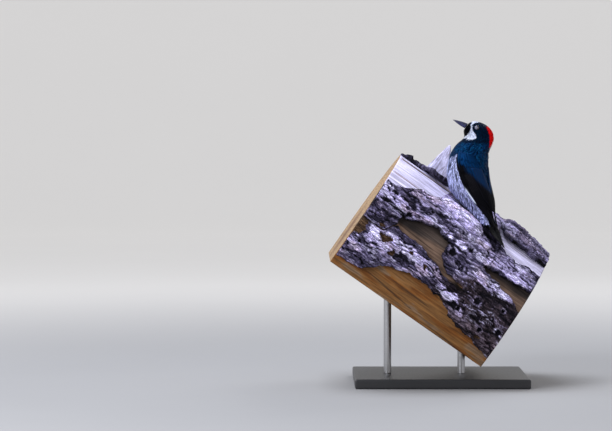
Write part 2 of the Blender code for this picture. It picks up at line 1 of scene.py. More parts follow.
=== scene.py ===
# %% [markdown]
# # A woodpecker on a leaning dead trunk
#
# This lesson finishes a life-size still model of a female acorn woodpecker. The solid model gives every
# piece its place and size. Here each one gets its real surface: feathers, horn, scales, bark and wood.
# Lengths are in metres, and +Z is up. The bird's left side faces -Y and its bill points towards -X.

# %% Load the solid model
import math

import bpy
import numpy as np
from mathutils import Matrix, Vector


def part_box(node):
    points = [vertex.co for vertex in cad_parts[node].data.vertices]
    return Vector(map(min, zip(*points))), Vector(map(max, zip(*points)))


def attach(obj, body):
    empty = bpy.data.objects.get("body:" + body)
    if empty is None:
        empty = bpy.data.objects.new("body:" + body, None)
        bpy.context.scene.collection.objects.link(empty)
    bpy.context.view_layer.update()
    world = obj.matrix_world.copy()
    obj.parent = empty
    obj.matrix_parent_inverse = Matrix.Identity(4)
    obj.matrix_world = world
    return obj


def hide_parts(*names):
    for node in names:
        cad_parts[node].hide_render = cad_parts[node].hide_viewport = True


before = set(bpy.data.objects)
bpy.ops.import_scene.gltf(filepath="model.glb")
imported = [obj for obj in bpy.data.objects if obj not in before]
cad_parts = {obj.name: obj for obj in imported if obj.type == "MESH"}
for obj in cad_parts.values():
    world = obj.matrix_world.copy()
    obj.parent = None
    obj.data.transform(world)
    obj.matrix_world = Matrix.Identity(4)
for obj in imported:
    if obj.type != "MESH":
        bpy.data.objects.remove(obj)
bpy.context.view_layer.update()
MM = 0.001

# %% [markdown]
# ## Making a mesh from whole arrays
#
# A surface is a grid of points, so its faces follow a rule: each quad joins two neighbours in one row
# with the two below them. Numpy works out all the corners at once, and Blender takes them in one call.
# That is hundreds of times faster than adding faces one by one.


# %% Grids of faces
def quads(rows, columns, wrap=False, start=0):
    """Corner numbers of the quads of a grid, counted row by row. wrap joins the last column to the
    first, as on a tube."""
    row = np.arange(rows - 1)[:, None] * columns
    here = np.arange(columns if wrap else columns - 1)[None, :]
    after = (here + 1) % columns
    corners = np.stack([row + here, row + after, row + columns + after, row + columns + here], axis=-1)
    return corners.reshape(-1, 4) + start


def fans(count, rows, columns):
    """The two end faces of many tubes at once: each is one polygon of the tube's columns."""
    first = np.arange(count)[:, None] * rows * columns
    start = first + np.arange(columns)[::-1][None, :]
    end = first + (rows - 1) * columns + np.arange(columns)[None, :]
    return np.concatenate([start, end])


def tube_faces(rows, columns):
    """All faces of one tube with closed ends."""
    return [quads(rows, columns, wrap=True), fans(1, rows, columns)]


def shell_faces(rows, columns):
    """All faces of a thick sheet: the upper grid, the lower one turned over, whose points follow the
    upper one's, and a wall round their borders."""
    size = rows * columns
    border = np.concatenate(
        [
            np.arange(columns - 1),
            np.arange(rows - 1) * columns + columns - 1,
            (rows - 1) * columns + np.arange(columns - 1, 0, -1),
            np.arange(rows - 1, 0, -1) * columns,
        ]
    )
    after = np.roll(border, -1)
    wall = np.stack([after, border, border + size, after + size], axis=1)
    return [quads(rows, columns), quads(rows, columns, start=size)[:, ::-1], wall]


# %% Two small helpers for points
def unit(vectors):
    """The same directions, one long."""
    return vectors / np.maximum(np.linalg.norm(vectors, axis=-1, keepdims=True), 1e-12)


def unwrap(u, v):
    """A UV map from two shares from 0 to 1, kept a little inside the map's border."""
    return np.stack(np.broadcast_arrays(u * 0.98 + 0.01, v * 0.98 + 0.01), axis=-1)


# %% One call that makes a finished piece
def piece(name, points, faces, finish, replaces=(), colours=None, numbers=None, maps=None):
    """A smooth mesh object at the origin from points in metres and blocks of faces. colours and numbers
    are values at its points; maps are UV maps, given at its points too. It rides on the one body."""
    points = np.asarray(points, float).reshape(-1, 3)
    corners = np.concatenate([block.ravel() for block in faces]).astype(np.int32)
    sizes = np.concatenate([np.full(len(block), block.shape[1]) for block in faces])
    starts = np.concatenate([[0], np.cumsum(sizes)[:-1]]).astype(np.int32)
    mesh = bpy.data.meshes.new(name)
    mesh.vertices.add(len(points))
    mesh.vertices.foreach_set("co", points.astype(np.float32).ravel())
    mesh.loops.add(len(corners))
    mesh.loops.foreach_set("vertex_index", corners)
    mesh.polygons.add(len(sizes))
    mesh.polygons.foreach_set("loop_start", starts)
    mesh.update(calc_edges=True)
    mesh.shade_smooth()
    for key, values in (colours or {}).items():
        values = np.broadcast_to(np.reshape(values, (-1, 3)), (len(points), 3))
        rgba = np.concatenate([values, np.ones((len(points), 1))], axis=1).astype(np.float32)
        mesh.color_attributes.new(key, "FLOAT_COLOR", "POINT").data.foreach_set("color", rgba.ravel())
    for key, values in (numbers or {}).items():
        values = np.full(len(points), np.ravel(values), np.float32)
        mesh.attributes.new(key, "FLOAT", "POINT").data.foreach_set("value", values)
    for key, values in (maps or {}).items():
        values = np.asarray(values, np.float32).reshape(-1, 2)[corners]
        mesh.uv_layers.new(name=key).data.foreach_set("uv", values.ravel())
    mesh.materials.append(finish)
    obj = bpy.data.objects.new(name, mesh)
    bpy.context.scene.collection.objects.link(obj)
    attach(obj, "root")
    if replaces:
        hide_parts(*replaces)
    print(f"{name}: {(sizes - 2).sum()} triangles")


# %% [markdown]
# ## Shader maths as Python expressions
#
# A procedural material is a small program. Nodes could be joined by hand in the editor, but a picture
# of wires is hard to read and to change. Wrapping a socket in a class that knows +, -, * and ** lets
# the program read like one: `1 - mask` adds a Math node and returns its output.


# %% A socket that takes part in sums
class Wire:
    """The output of a shader node. Sums, products and powers with it add Math nodes, and so does math
    with the name of an operation. swap puts the other value first."""

    def __init__(self, finish, socket):
        self.finish = finish
        self.socket = socket

    def math(self, operation, *others, swap=False):
        values = [self, *others][:: -1 if swap else 1]
        inputs = dict(enumerate(values))
        return self.finish.node("ShaderNodeMath", inputs, operation=operation)

    def __add__(self, other):
        return self.math("ADD", other)

    def __sub__(self, other):
        return self.math("SUBTRACT", other)

    def __mul__(self, other):
        return self.math("MULTIPLY", other)

    def __pow__(self, other):
        return self.math("POWER", other)

    def __rsub__(self, other):
        return self.math("SUBTRACT", other, swap=True)

    __radd__ = __add__
    __rmul__ = __mul__

    def clamp(self, low, high):
        """0 below low, 1 above high, and a smooth step between."""
        inputs = {"Value": self, "From Min": low, "From Max": high}
        return self.finish.node("ShaderNodeMapRange", inputs, interpolation_type="SMOOTHSTEP")


# %% A material under construction
class Finish:
    """Makes a material with one Principled shader, whose fixed sockets are set by name."""

    def __init__(self, name, **fixed):
        self.material = bpy.data.materials.new(name)
        self.material.use_nodes = True
        self.tree = self.material.node_tree
        self.shader = self.tree.nodes["Principled BSDF"]
        for key, value in fixed.items():
            self.shader.inputs[key.replace("_", " ")].default_value = value

    def node(self, kind, inputs=None, out=0, **settings):
        """Adds a node, gives it its settings, then its sockets' values or links. Returns an output."""
        made = self.tree.nodes.new(kind)
        for key, value in settings.items():
            setattr(made, key, value)
        for key, value in (inputs or {}).items():
            socket = made.inputs[key]
            if isinstance(value, Wire):
                self.tree.links.new(value.socket, socket)
            elif socket.type == "RGBA":
                socket.default_value = (*value, 1)
            else:
                socket.default_value = value
        return Wire(self, made.outputs[out])

    def place(self, scale=(1, 1, 1), turn=(0, 0, 0), shift=(0, 0, 0)):
        """Object coordinates, moved, turned and scaled, in that order."""
        here = self.node("ShaderNodeTexCoord", out="Object")
        moved = self.node("ShaderNodeVectorMath", {0: here, 1: shift}, operation="ADD")
        settings = {"Vector": moved, "Rotation": turn, "Scale": (1, 1, 1)}
        turned = self.node("ShaderNodeMapping", settings, vector_type="POINT")
        return self.node("ShaderNodeVectorMath", {0: turned, 1: scale}, operation="MULTIPLY")

    def axes(self, vector):
        """The vector's three numbers, X, Y and Z."""
        first = self.node("ShaderNodeSeparateXYZ", {0: vector})
        return [Wire(self, output) for output in first.socket.node.outputs]

    def noise(self, where, scale, detail=4.0, roughness=0.55, distortion=0.0):
        """Cloudy noise from 0 to 1, mostly near 0.5."""
        inputs = {"Vector": where, "Scale": scale, "Detail": detail, "Roughness": roughness}
        return self.node("ShaderNodeTexNoise", {**inputs, "Distortion": distortion})

    def colour_of(self, name):
        """The mesh's own colours of that name."""
        return self.node("ShaderNodeAttribute", out="Color", attribute_name=name)

    def number_of(self, name):
        """The mesh's own numbers of that name."""
        return self.node("ShaderNodeAttribute", out="Fac", attribute_name=name)

    def blend(self, share, first, second, how="MIX"):
        """Mixes two colours: the first where share is 0, the second where it is 1."""
        inputs = {0: share, 6: first, 7: second}
        return self.node("ShaderNodeMix", inputs, out=2, data_type="RGBA", blend_type=how)

    def times(self, first, second):
        """Two colours multiplied."""
        return self.blend(1.0, first, second, "MULTIPLY")

    def bump(self, height, strength, distance):
        """A normal that tilts with the height. distance is in metres."""
        inputs = {"Height": height, "Strength": strength, "Distance": distance}
        return self.node("ShaderNodeBump", inputs)

    def feed(self, **sockets):
        """Links values to the shader's sockets. Returns the finished material."""
        for key, value in sockets.items():
            self.tree.links.new(value.socket, self.shader.inputs[key.replace("_", " ")])
        return self.material


# %% [markdown]
# ## Camera, floor and light
#
# A long lens far away flattens the view, as a bird watcher's does. The camera looks along +Y from a
# little above the trunk's middle. The object stands right of the middle of the frame, because the
# leaning trunk once went on to the left. A flat floor with a wall would show a hard line behind the
# object, so the floor curves up instead, and four soft lights stand in for an overcast sky.

# %% Camera
eye_low, eye_high = (np.array(corner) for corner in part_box("eye_left"))
EYE_BALL = (eye_low + eye_high) / 2
CAMERA_AWAY = 4.0
CAMERA_RISE = math.radians(2.0)
VIEW_WIDTH = 0.94154  # metres across the frame at the bird
AIM = EYE_BALL + np.array([-0.2626, 0, -0.1349])  # the middle of the view, left of the bird and below it
SENSOR_WIDTH = 36

camera_data = bpy.data.cameras.new("camera")
camera_data.sensor_width = SENSOR_WIDTH
camera_data.lens = SENSOR_WIDTH * CAMERA_AWAY / VIEW_WIDTH
camera = bpy.data.objects.new("camera", camera_data)
bpy.context.scene.collection.objects.link(camera)
back = Vector((0, -math.cos(CAMERA_RISE), math.sin(CAMERA_RISE)))
camera.location = Vector(AIM) + back * CAMERA_AWAY
camera.rotation_euler = back.to_track_quat("Z", "Y").to_euler()
bpy.context.scene.camera = camera
print("camera at", [round(x, 3) for x in camera.location])


# %% Grey paper, which glows a little more towards the wall
def paper_finish():
    """Nearly even grey, with a glow that grows with the distance from the middle."""
    paper = Finish("studio_paper", Roughness=0.9, Emission_Strength=0.48)
    tone = paper.noise(paper.place(), 2.0)
    x, y, _ = paper.axes(paper.place())
    glow = paper.blend(((x * x + y * y) ** 0.5).clamp(0.5, 2.6), (0, 0, 0), (1.0, 0.985, 0.97))
    tint = paper.blend(tone, (0.32, 0.315, 0.31), (0.345, 0.34, 0.335))
    return paper.feed(Base_Color=tint, Emission_Color=glow)


# %% Round floor that curves up into a backdrop
def make_floor():
    """A profile turned round the upright axis: flat, then a quarter circle, then an upright wall. Its
    radius is larger than the camera's distance, so every view round the object is clear."""
    reach, radius, wall, columns = 5.6, 1.6, 3.4, 96
    bend = np.linspace(0, np.pi / 2, 20)
    far = np.concatenate([[0.02, 1.0, 3.0], reach + radius * np.sin(bend), [reach + radius]])[:, None]
    height = np.concatenate([[0, 0, 0], radius * (1 - np.cos(bend)), [wall]])[:, None]
    spin = np.linspace(0, 2 * np.pi, columns, endpoint=False)
    points = np.stack([far * np.cos(spin), far * np.sin(spin), height + 0 * spin], axis=-1)
    faces = quads(len(far), columns, wrap=True)[:, ::-1].tolist() + [list(range(columns))]
    mesh = bpy.data.meshes.new("studio_floor")
    mesh.from_pydata(points.reshape(-1, 3).tolist(), [], faces)
    mesh.shade_smooth()
    mesh.materials.append(paper_finish())
    floor = bpy.data.objects.new("studio_floor", mesh)
    bpy.context.scene.collection.objects.link(floor)


make_floor()

TRUNK_MIDDLE = Vector((0, 0, 0.25))


# %% Soft studio light
def soft_light(name, place, size, power, colour):
    """A square light at a place, aimed at the trunk's middle."""
    data = bpy.data.lights.new(name, "AREA")
    data.size = size
    data.energy = power
    data.color = colour
    lamp = bpy.data.objects.new(name, data)
    lamp.location = place
    lamp.rotation_euler = (Vector(place) - TRUNK_MIDDLE).to_track_quat("Z", "Y").to_euler()
    bpy.context.scene.collection.objects.link(lamp)


soft_light("sky_light", (-0.6, 0.0, 2.4), 1.4, 54, (0.86, 0.90, 1.0))
soft_light("key_light", (-1.9, -2.0, 1.6), 1.1, 58, (0.88, 0.91, 1.0))
soft_light("fill_light", (2.2, -1.6, 0.9), 1.8, 10, (0.93, 0.94, 1.0))
soft_light("rim_light", (0.9, 1.5, 1.6), 0.9, 14, (0.93, 0.95, 1.0))
world = bpy.data.worlds.new("studio")
world.use_nodes = True
sky = world.node_tree.nodes["Background"].inputs
sky["Color"].default_value = (0.80, 0.84, 0.97, 1)
sky["Strength"].default_value = 0.34
bpy.context.scene.world = world
bpy.context.scene.view_settings.view_transform = "Standard"

# %% [markdown]
# ## Noise in numpy
#
# Bark and wood need rough shapes, not only rough shading, so their meshes are bent by noise. Blender's
# Displace modifier could do that, but noise worked out here can also shape outlines, colours and
# cracks, all from the same numbers. Value noise gives each corner of a lattice a random number and
# blends between them. The number comes from the corner's place, so every run gives the same bark.


# %% Random numbers on a lattice
def lattice(cells, salt):
    """A repeatable number from 0 to 1 for each whole-number cell, by mixing the bits of its place."""
    mixed = (cells[..., 0] * 73856093) ^ (cells[..., 1] * 19349663) ^ (salt * 83492791 + 12345)
    mixed = mixed & 0xFFFFFFFF
    mixed = ((mixed ^ (mixed >> 15)) * 2246822519) & 0xFFFFFFFF
    mixed = ((mixed ^ (mixed >> 13)) * 3266489917) & 0xFFFFFFFF
    return ((mixed ^ (mixed >> 16)) & 0xFFFFFF) / 0xFFFFFF


def noise(x, y, salt=0):
    """Value noise, 0 to 1: the four corner numbers blended by t * t * (3 - 2 * t) each way."""
    place = np.stack(np.broadcast_arrays(x, y), axis=-1).astype(float)
    cell = np.floor(place).astype(np.int64)
    t = place - cell
    t = t * t * (3 - 2 * t)
    low = lattice(cell, salt) * (1 - t[..., 0]) + lattice(cell + [1, 0], salt) * t[..., 0]
    high = lattice(cell + [0, 1], salt) * (1 - t[..., 0]) + lattice(cell + [1, 1], salt) * t[..., 0]
    return low * (1 - t[..., 1]) + high * t[..., 1]


def clouds(x, y, salt=0, octaves=4):
    """Noise at several scales, each half as large and half as strong as the last, 0 to 1."""
    total = sum(noise(x * 2**k, y * 2**k, salt + 17 * k) / 2**k for k in range(octaves))
    return total / sum(0.5**k for k in range(octaves))


# %% Smooth steps and mixed colours
def step(low, high, value):
    """0 below low, 1 above high, and smooth between. With low above high it falls instead."""
    t = np.clip((value - low) / (high - low), 0, 1)
    return t * t * (3 - 2 * t)


def mix(first, second, share):
    """The first where share is 0 and the second where it is 1, for colours given at each point."""
    return np.asarray(first) * (1 - share[..., None]) + np.asarray(second) * share[..., None]


# %% [markdown]
# ## The trunk's own coordinates
#
# Everything on the trunk is described by its place along the axis in millimetres, and by its angle
# round from the top line towards the bird's side. These sizes repeat the solid model's.

# %% Trunk sizes
TRUNK_SLOPE = math.radians(35)
TRUNK_RADIUS = 155.0
BARK_THICK = 9.5
WOOD_RADIUS = TRUNK_RADIUS - BARK_THICK - 0.5
TRUNK_HALF = 140.0
SAWN_BELOW_AXIS = 50.0
ALONG = np.array([math.cos(TRUNK_SLOPE), 0, -math.sin(TRUNK_SLOPE)])
OUT = np.array([math.sin(TRUNK_SLOPE), 0, math.cos(TRUNK_SLOPE)])
NEAR = np.array([0, -1.0, 0])
EYE_IN_BIRD = (-0.5, 10.4, 185.2)  # forward, left and up from the tail tip, in millimetres
HEAD_YAW, BODY_YAW = math.radians(10), math.radians(35)
TAIL_REACH = 49.0


def turned(forward, left, up, yaw):
    """Millimetres forward, left and up in the bird, turned by its heading, to metres from its feet."""
    x = -(forward * np.cos(yaw) + left * np.sin(yaw))
    y = forward * np.sin(yaw) - left * np.cos(yaw) + TAIL_REACH * math.sin(BODY_YAW)
    return np.stack(np.broadcast_arrays(x, y, up), axis=-1) * MM


BIRD_PLACE = EYE_BALL - turned(*(np.float64(v) for v in EYE_IN_BIRD), HEAD_YAW)
AXIS_POINT = BIRD_PLACE + np.array([5, 100.7, 70]) * MM - OUT * TRUNK_RADIUS * MM
print("trunk axis through", AXIS_POINT.round(4))


def on_trunk(along, turn, radius):
    """Metres from millimetres along, radians round and millimetres out from the axis."""
    spread = np.broadcast_arrays(along, turn, radius)
    along, turn, radius = (np.asarray(value, float)[..., None] for value in spread)
    return AXIS_POINT + MM * (along * ALONG + radius * (np.cos(turn) * OUT + np.sin(turn) * NEAR))


# %% [markdown]
# ## Dead wood
#
# Weather opens long checks along a dead trunk's grain. Where bark fell off long ago the wood is silver.
# Deeper down it is tan, and orange where it broke away last. A cylinder with a bump map would look
# painted, so the log is one closed skin whose fine grid follows the fibres: round its side and its sawn
# flat, and in shrinking rings over both ends, where checks run out from the pith.


# %% Height of the bare wood
def wood_relief(along, turn):
    """Millimetres that the wood's surface stands off its radius: low swells, raised fibres, and long
    splits along the grain where much stretched noise crosses its middle value."""
    arc = turn * WOOD_RADIUS
    bend = 7 * clouds(along / 90, arc / 60, 3, 3)
    swell = 1.5 * (clouds(along / 70, arc / 16, 5) - 0.5)
    fibre = 0.7 * (clouds(along / 80, (arc + bend) / 2.6, 13, 2) - 0.5)
    split = (clouds(along / 900, (arc + bend) / 11, 8, 2) - 0.5) / 0.075
    comes_and_goes = step(0.42, 0.56, clouds(along / 120, arc / 26, 6, 2))
    deep = 2.9 - 2.3 * step(0.9, 1.1, turn)
    return swell + fibre - deep * np.exp(-(split**2)) * comes_and_goes


# %% Drying checks and colours of the bare wood
# Thin checks: from where along and round to where, in mm and degrees, and half width in mm.
CHECKS = (
    (-84, 66.9, -18, 68.4, 1.3),
    (-92, 101.2, 6, 105.6, 1.1),
    (-60, 97, 40, 98.6, 0.8),
    (20, 108, 120, 110, 1.0),
)
# The silver grey carries a painted blue cast of sky light.
SILVER, TAN, ORANGE = (0.64, 0.615, 0.86), (0.165, 0.105, 0.075), (0.20, 0.094, 0.030)
SHADE_UMBER, DUST, AMBER = (0.016, 0.011, 0.010), (0.085, 0.062, 0.052), (0.165, 0.052, 0.006)
OLD_GREY, WARM_EDGE = (0.21, 0.145, 0.095), (0.42, 0.26, 0.18)


def drying_check(along, turn, start, first, end, last, width):
    """From 0 to 1: how near each point is to one check, a wandering line that is thin at its ends."""
    share = np.clip((along - start) / (end - start), 0, 1)
    wander = 1.6 * (clouds(along / 24, 0 * turn, 35, 3) - 0.5)
    off = (np.degrees(turn) - first - (last - first) * share) / 180 * np.pi * WOOD_RADIUS - wander
    thin = width * (0.25 + 0.75 * np.sin(np.pi * share))
    return np.exp(-((off / np.maximum(thin, 0.1)) ** 2)) * (along > start) * (along < end)


def wood_colour(along, turn, relief):
    """Silver on the weathered crown, tan deeper in the hollows and orange low down. Painted shade makes
    the wood dark brown under the torn lips of the hollows and in the deepest parts of the splits, whose
    edges are warm."""
    arc = turn * WOOD_RADIUS
    angle = np.degrees(turn) + 5 * (clouds(along / 40, turn * 12, 21) - 0.5)
    # Painted shade: dark brown on the wood just under the lower lips of the bark plates.
    colour = mix(SILVER, SHADE_UMBER, step(47, 51, angle))
    colour = mix(colour, DUST, step(-70, -20, along) * step(55, 61, angle) * step(30, 10, along))
    colour = mix(colour, TAN, step(64.5, 68.5, angle + 3 * step(-60, -20, along)) * step(40, 20, along))
    colour = mix(colour, TAN, step(58, 63, angle) * step(50, 75, along))
    # Painted shade: dark brown in the seam between the two plates on the left.
    colour = mix(colour, SHADE_UMBER, 0.8 * step(-95, -125, along) * step(73, 77, angle))
    colour = mix(colour, ORANGE, step(82, 90, angle))
    colour = mix(colour, SILVER, step(70, 40, np.abs(np.degrees(turn) + 75)) * 0.5)
    streak = clouds(along / 110, arc / 2.6, 23, 3)
    broad = clouds(along / 90, arc / 12, 25, 3)
    colour = colour * (0.58 + 0.48 * streak + 0.38 * broad)[..., None]
    amber = step(0.48, 0.66, clouds(along / 50, arc / 10, 27) + 0.08 * step(104, 92, angle))
    colour = mix(colour, AMBER, 0.75 * amber * step(84, 92, angle))
    grey = step(0.56, 0.68, clouds(along / 38, arc / 9, 29)) * step(86, 96, angle)
    colour = mix(colour, OLD_GREY, 0.7 * grey)
    for check in CHECKS:
        colour = mix(colour, (0.020, 0.012, 0.008), 0.9 * drying_check(along, turn, *check))
    edge = step(-0.35, -1.0, relief) * (1 - step(48, 56, angle))
    colour = mix(colour, WARM_EDGE, 0.55 * edge)
    # Painted shade: dark in the deepest parts of the splits.
    return mix(colour, (0.022, 0.016, 0.014), step(-0.9, -2.2, relief))


# %% Finish of dead wood
def wood_finish(name, grain):
    """Fibres are noise stretched along the grain, and rings follow the distance from the trunk's axis."""
    finish = Finish(name, Specular_IOR_Level=0.25)
    local = finish.place(turn=(0, -TRUNK_SLOPE, 0), shift=tuple(-AXIS_POINT))
    fibre_place = finish.node("ShaderNodeVectorMath", {0: local, 1: grain}, operation="MULTIPLY")
    fibre = finish.noise(fibre_place, 1.0, 5, 0.7, 0.25)
    _, across, upright = finish.axes(local)
    radius = (across * across + upright * upright) ** 0.5
    wobble = finish.noise(local, 14, 2) * 0.006
    ring = ((radius + wobble) * 1150).math("SINE") * 0.5 + 0.5
    ring_share = finish.number_of("sawn")
    tint = finish.blend(fibre.clamp(0.34, 0.68), (0.55, 0.52, 0.5), (1.38, 1.36, 1.30))
    colour = finish.times(finish.colour_of("stain_and_shade"), tint)
    height = fibre * 0.7 + ring * ring_share * 0.3
    return finish.feed(
        Base_Color=finish.blend(ring**2 * ring_share * 0.55, colour, (0.14, 0.08, 0.045)),
        Roughness=0.72 + fibre * 0.2,
        Normal=finish.bump(height, 0.75, 0.0011),
    )


dead_wood = wood_finish("weathered_wood", grain=(18, 420, 420))
torn_wood = wood_finish("torn_wood", grain=(330, 330, 22))


# %% The log's sawn ends
SAWN_PALE, HEARTWOOD, CHECK_DARK = (0.42, 0.29, 0.17), (0.22, 0.13, 0.08), (0.04, 0.03, 0.025)


def end_checks(spoke, far, salt):
    """From 0 to 1: where a check runs out from the pith."""
    before, here, after = (noise((spoke + turn) * 4.5, far / 700, 41 + salt) for turn in (-0.01, 0, 0.01))
    slope = np.abs(after - before) / 0.02
    off = np.abs(here - 0.5) / np.maximum(slope, 0.25)
    from_pith = 15 + 95 * noise(spoke * 3.2, 0 * far, 45 + salt)
    return np.exp(-((off / 0.009) ** 2)) * step(0.5, 0.9, slope) * step(from_pith, from_pith + 25, far)


def sawn_end(sign, rim):
    """Rings that shrink from the rim to the pith, as the sine of even steps, and their colours. Checks
    and the saw's fine waves dent them. sign is -1 for the uphill end and 1 for the other."""
    pith = AXIS_POINT + ALONG * sign * TRUNK_HALF * MM
    shrink = np.sin(np.linspace(0, np.pi / 2, 24))[:-1, None, None]
    rings = pith + (rim - pith) * shrink
    offset = (rings - AXIS_POINT) / MM
    across, up = offset @ NEAR, offset @ OUT
    far = np.hypot(across, up)
    crack = end_checks(np.arctan2(across, up), far, sign) * step(0.995, 0.93, shrink[..., 0])
    saw = 0.18 * np.sin(up / 1.3 + 0.4 * np.sin(across / 17))
    dent = (crack * 1.8 + saw) * step(1.0, 0.97, shrink[..., 0])
    rings = rings - ALONG * sign * dent[..., None] * MM
    heart = mix(SAWN_PALE, HEARTWOOD, step(75, 15, far))
    return rings, mix(heart, CHECK_DARK, np.clip(crack, 0, 1))


# %% The log
def make_log():
    """Closed rings along the axis, each an arc of the wood's radius and then the flat underside,
    between the two sawn ends."""
    edge = math.acos(-SAWN_BELOW_AXIS / WOOD_RADIUS)
    arc = np.linspace(-edge, edge, 500)
    flat = np.linspace(1, -1, 42)[1:-1] * math.sin(edge) * WOOD_RADIUS
    along = np.linspace(-TRUNK_HALF, TRUNK_HALF, 130)[:, None]
    relief = wood_relief(along, arc) * step(0, 8, TRUNK_HALF - np.abs(along))
    relief = relief * step(0, 0.06, edge - np.abs(arc))
    side = on_trunk(along, arc, WOOD_RADIUS + relief)
    saw = 0.25 * np.sin(along / 1.1 + 2 * noise(along / 9, flat / 60, 31))
    under = on_trunk(along, np.arctan2(flat, -SAWN_BELOW_AXIS), np.hypot(flat, SAWN_BELOW_AXIS) + saw)
    rings = np.concatenate([side, under], axis=1)
    sawn_flat = np.full(under.shape, (0.30, 0.20, 0.12))
    stain_and_shade = np.concatenate([wood_colour(along, arc, relief), sawn_flat], axis=1)
    uphill, uphill_stain = sawn_end(-1, rings[0])
    downhill, downhill_stain = sawn_end(1, rings[-1])
    points = np.concatenate([uphill, rings, downhill[::-1]])
    rows, columns = points.shape[:2]
    sawn = np.ones((rows, columns))
    sawn[len(uphill) : len(uphill) + len(rings)] = 0
    u, v = np.linspace(0.002, 0.998, columns), np.linspace(0.002, 0.998, rows)[:, None]
    piece(
        "log_wood",
        points,
        [quads(rows, columns, wrap=True)],
        dead_wood,
        replaces=("perch_wood",),
        colours={"stain_and_shade": np.concatenate([uphill_stain, stain_and_shade, downhill_stain[::-1]])},
        numbers={"sawn": sawn},
        maps={"OFBake": np.stack(np.broadcast_arrays(u, v), axis=-1)},
    )


make_log()

# %% [markdown]
# ## Bark
#
# Old bark breaks into long plates parted by furrows, and each plate into flakes that lie in layers.
# Round cells would look like cobbles, so the layers are noise stretched along the trunk, bent by more
# noise and cut into steps. Beetles and woodpeckers leave round holes, and some pieces have fallen right
# out. Where the dark outer layer flaked off, a pale lilac one shows. The furrows are darkened with
# painted shade, and the highest flakes lightened with a painted highlight. Each plate is a thick sheet
# with torn edges of its own, as on a real trunk, where they lift as they dry.

# %% Holes, pockets and pale places
# Holes that beetles and woodpeckers left: place along, degrees round and radius.
BORE_HOLES = (
    (27.8, 54.6, 3.4), (-53, 47.6, 2.4), (-81, 59.0, 4.6), (-116, 52.5, 3.4), (5, 62.8, 5.2),
    (77.2, 78.9, 4.8), (51, 88, 3.4), (60, 88.8, 2.6), (118, 75, 2.6), (104, 92, 3.2), (130, 87, 4.0),
    (96, 46, 2.0),
)
# Pockets where the bark fell out down to the wood, with their half length and half width in mm.
POCKETS = (
    (-139, 82, 15, 17), (-112, 73.6, 6, 3.6), (-92, 79, 6.5, 6.0), (-71.5, 85, 4.5, 6.0),
    (-43, 78, 4.2, 4.0), (-17, 80.5, 3.6, 3.8), (40.5, 77.4, 5.5, 4.5), (104, 96, 6.0, 2.5),
)
# Where the dark outer bark flaked off a pale layer: place along, degrees round, half length in mm,
# half width in degrees, and how pale.
PALE_PLACES = (
    (-134, 56, 26, 6.0, 0.9), (-100, 57, 15, 3.6, 1.0), (-78, 46, 22, 4.0, 0.5), (-60, 53, 16, 3.0, 0.9),
    (-22, 53, 20, 3.5, 0.6), (-95, 80.5, 26, 6.5, 0.85), (-56, 78.5, 26, 5.0, 0.8), (-14, 80, 20, 4.0, 0.8),
    (-133, 91, 14, 3.5, 0.6), (8.5, 56, 9, 3.2, 1.0), (-60, 36, 27, 8.0, 1.0), (-40, 24, 16, 9.0, 0.9),
    (-12, 40, 38, 6.0, 1.1), (22, 44.5, 14, 4.0, 1.0), (46, 47, 18, 4.5, 0.5), (40, 10, 30, 12, 0.5),
    (50, 56.5, 13, 2.8, 0.9), (56, 66, 12, 3.0, 0.8), (98, 54, 42, 2.8, 0.95), (94, 66.5, 40, 2.6, 0.95),
    (28, 85.0, 24, 2.6, 0.7), (58, 90, 10, 2.2, 0.6), (118, 47, 20, 3.0, 0.6), (96, 92, 16, 3.0, 0.35),
)


# %% Relief of the bark
def bark_swell(along, turn):
    """The solid model's low swells, flat where the bird clings and dented under its tail."""
    swell = np.sin(along / 17 + 2.3 * turn) * np.sin(along / 41 - 4.1 * turn + 0.8)
    off_bird = np.clip(np.abs(along - 18) / 62 - 1, 0, 1)
    off_side = np.clip(np.abs(turn - 0.52) / 0.42 - 1, 0, 1)
    dent = np.exp(-(((along - 56) / 22) ** 2) - ((turn - 0.68) / 0.13) ** 2)
    return 2.6 * swell * np.maximum(off_bird, off_side) - 1.6 * dent


def flaked(along, turn, salt=0):
    """From 0 to 1: where the outer bark is gone and the pale layer shows, with a ragged border."""
    arc = turn * TRUNK_RADIUS
    a = along + 26 * (clouds(along / 22, arc / 11, salt + 31, 5) - 0.5)
    b = np.degrees(turn) + 7.5 * (clouds(along / 17, arc / 8, salt + 32, 5) - 0.5)
    pale = 0.62 * clouds(along / 26, arc / 9, salt + 40, 4)
    for place, middle, length, width, much in PALE_PLACES:
        near = ((a - place) / length) ** 2 + ((b - middle) / width) ** 2
        pale = pale + 0.62 * much * np.exp(-(near**1.5))
    pale = pale - 0.08 * step(10, -30, np.degrees(turn)) - 0.10 * step(94, 100, np.degrees(turn))
    return step(0.50, 0.60, pale)


# %% Flakes, holes and pockets
RELIEF, CALM_RELIEF, LAYERS = 8.2, 3.8, 11  # millimetres from furrow to flake, and steps of the noise
HOLE_DEPTH, POCKET_DEPTH = 9.2, 9.0


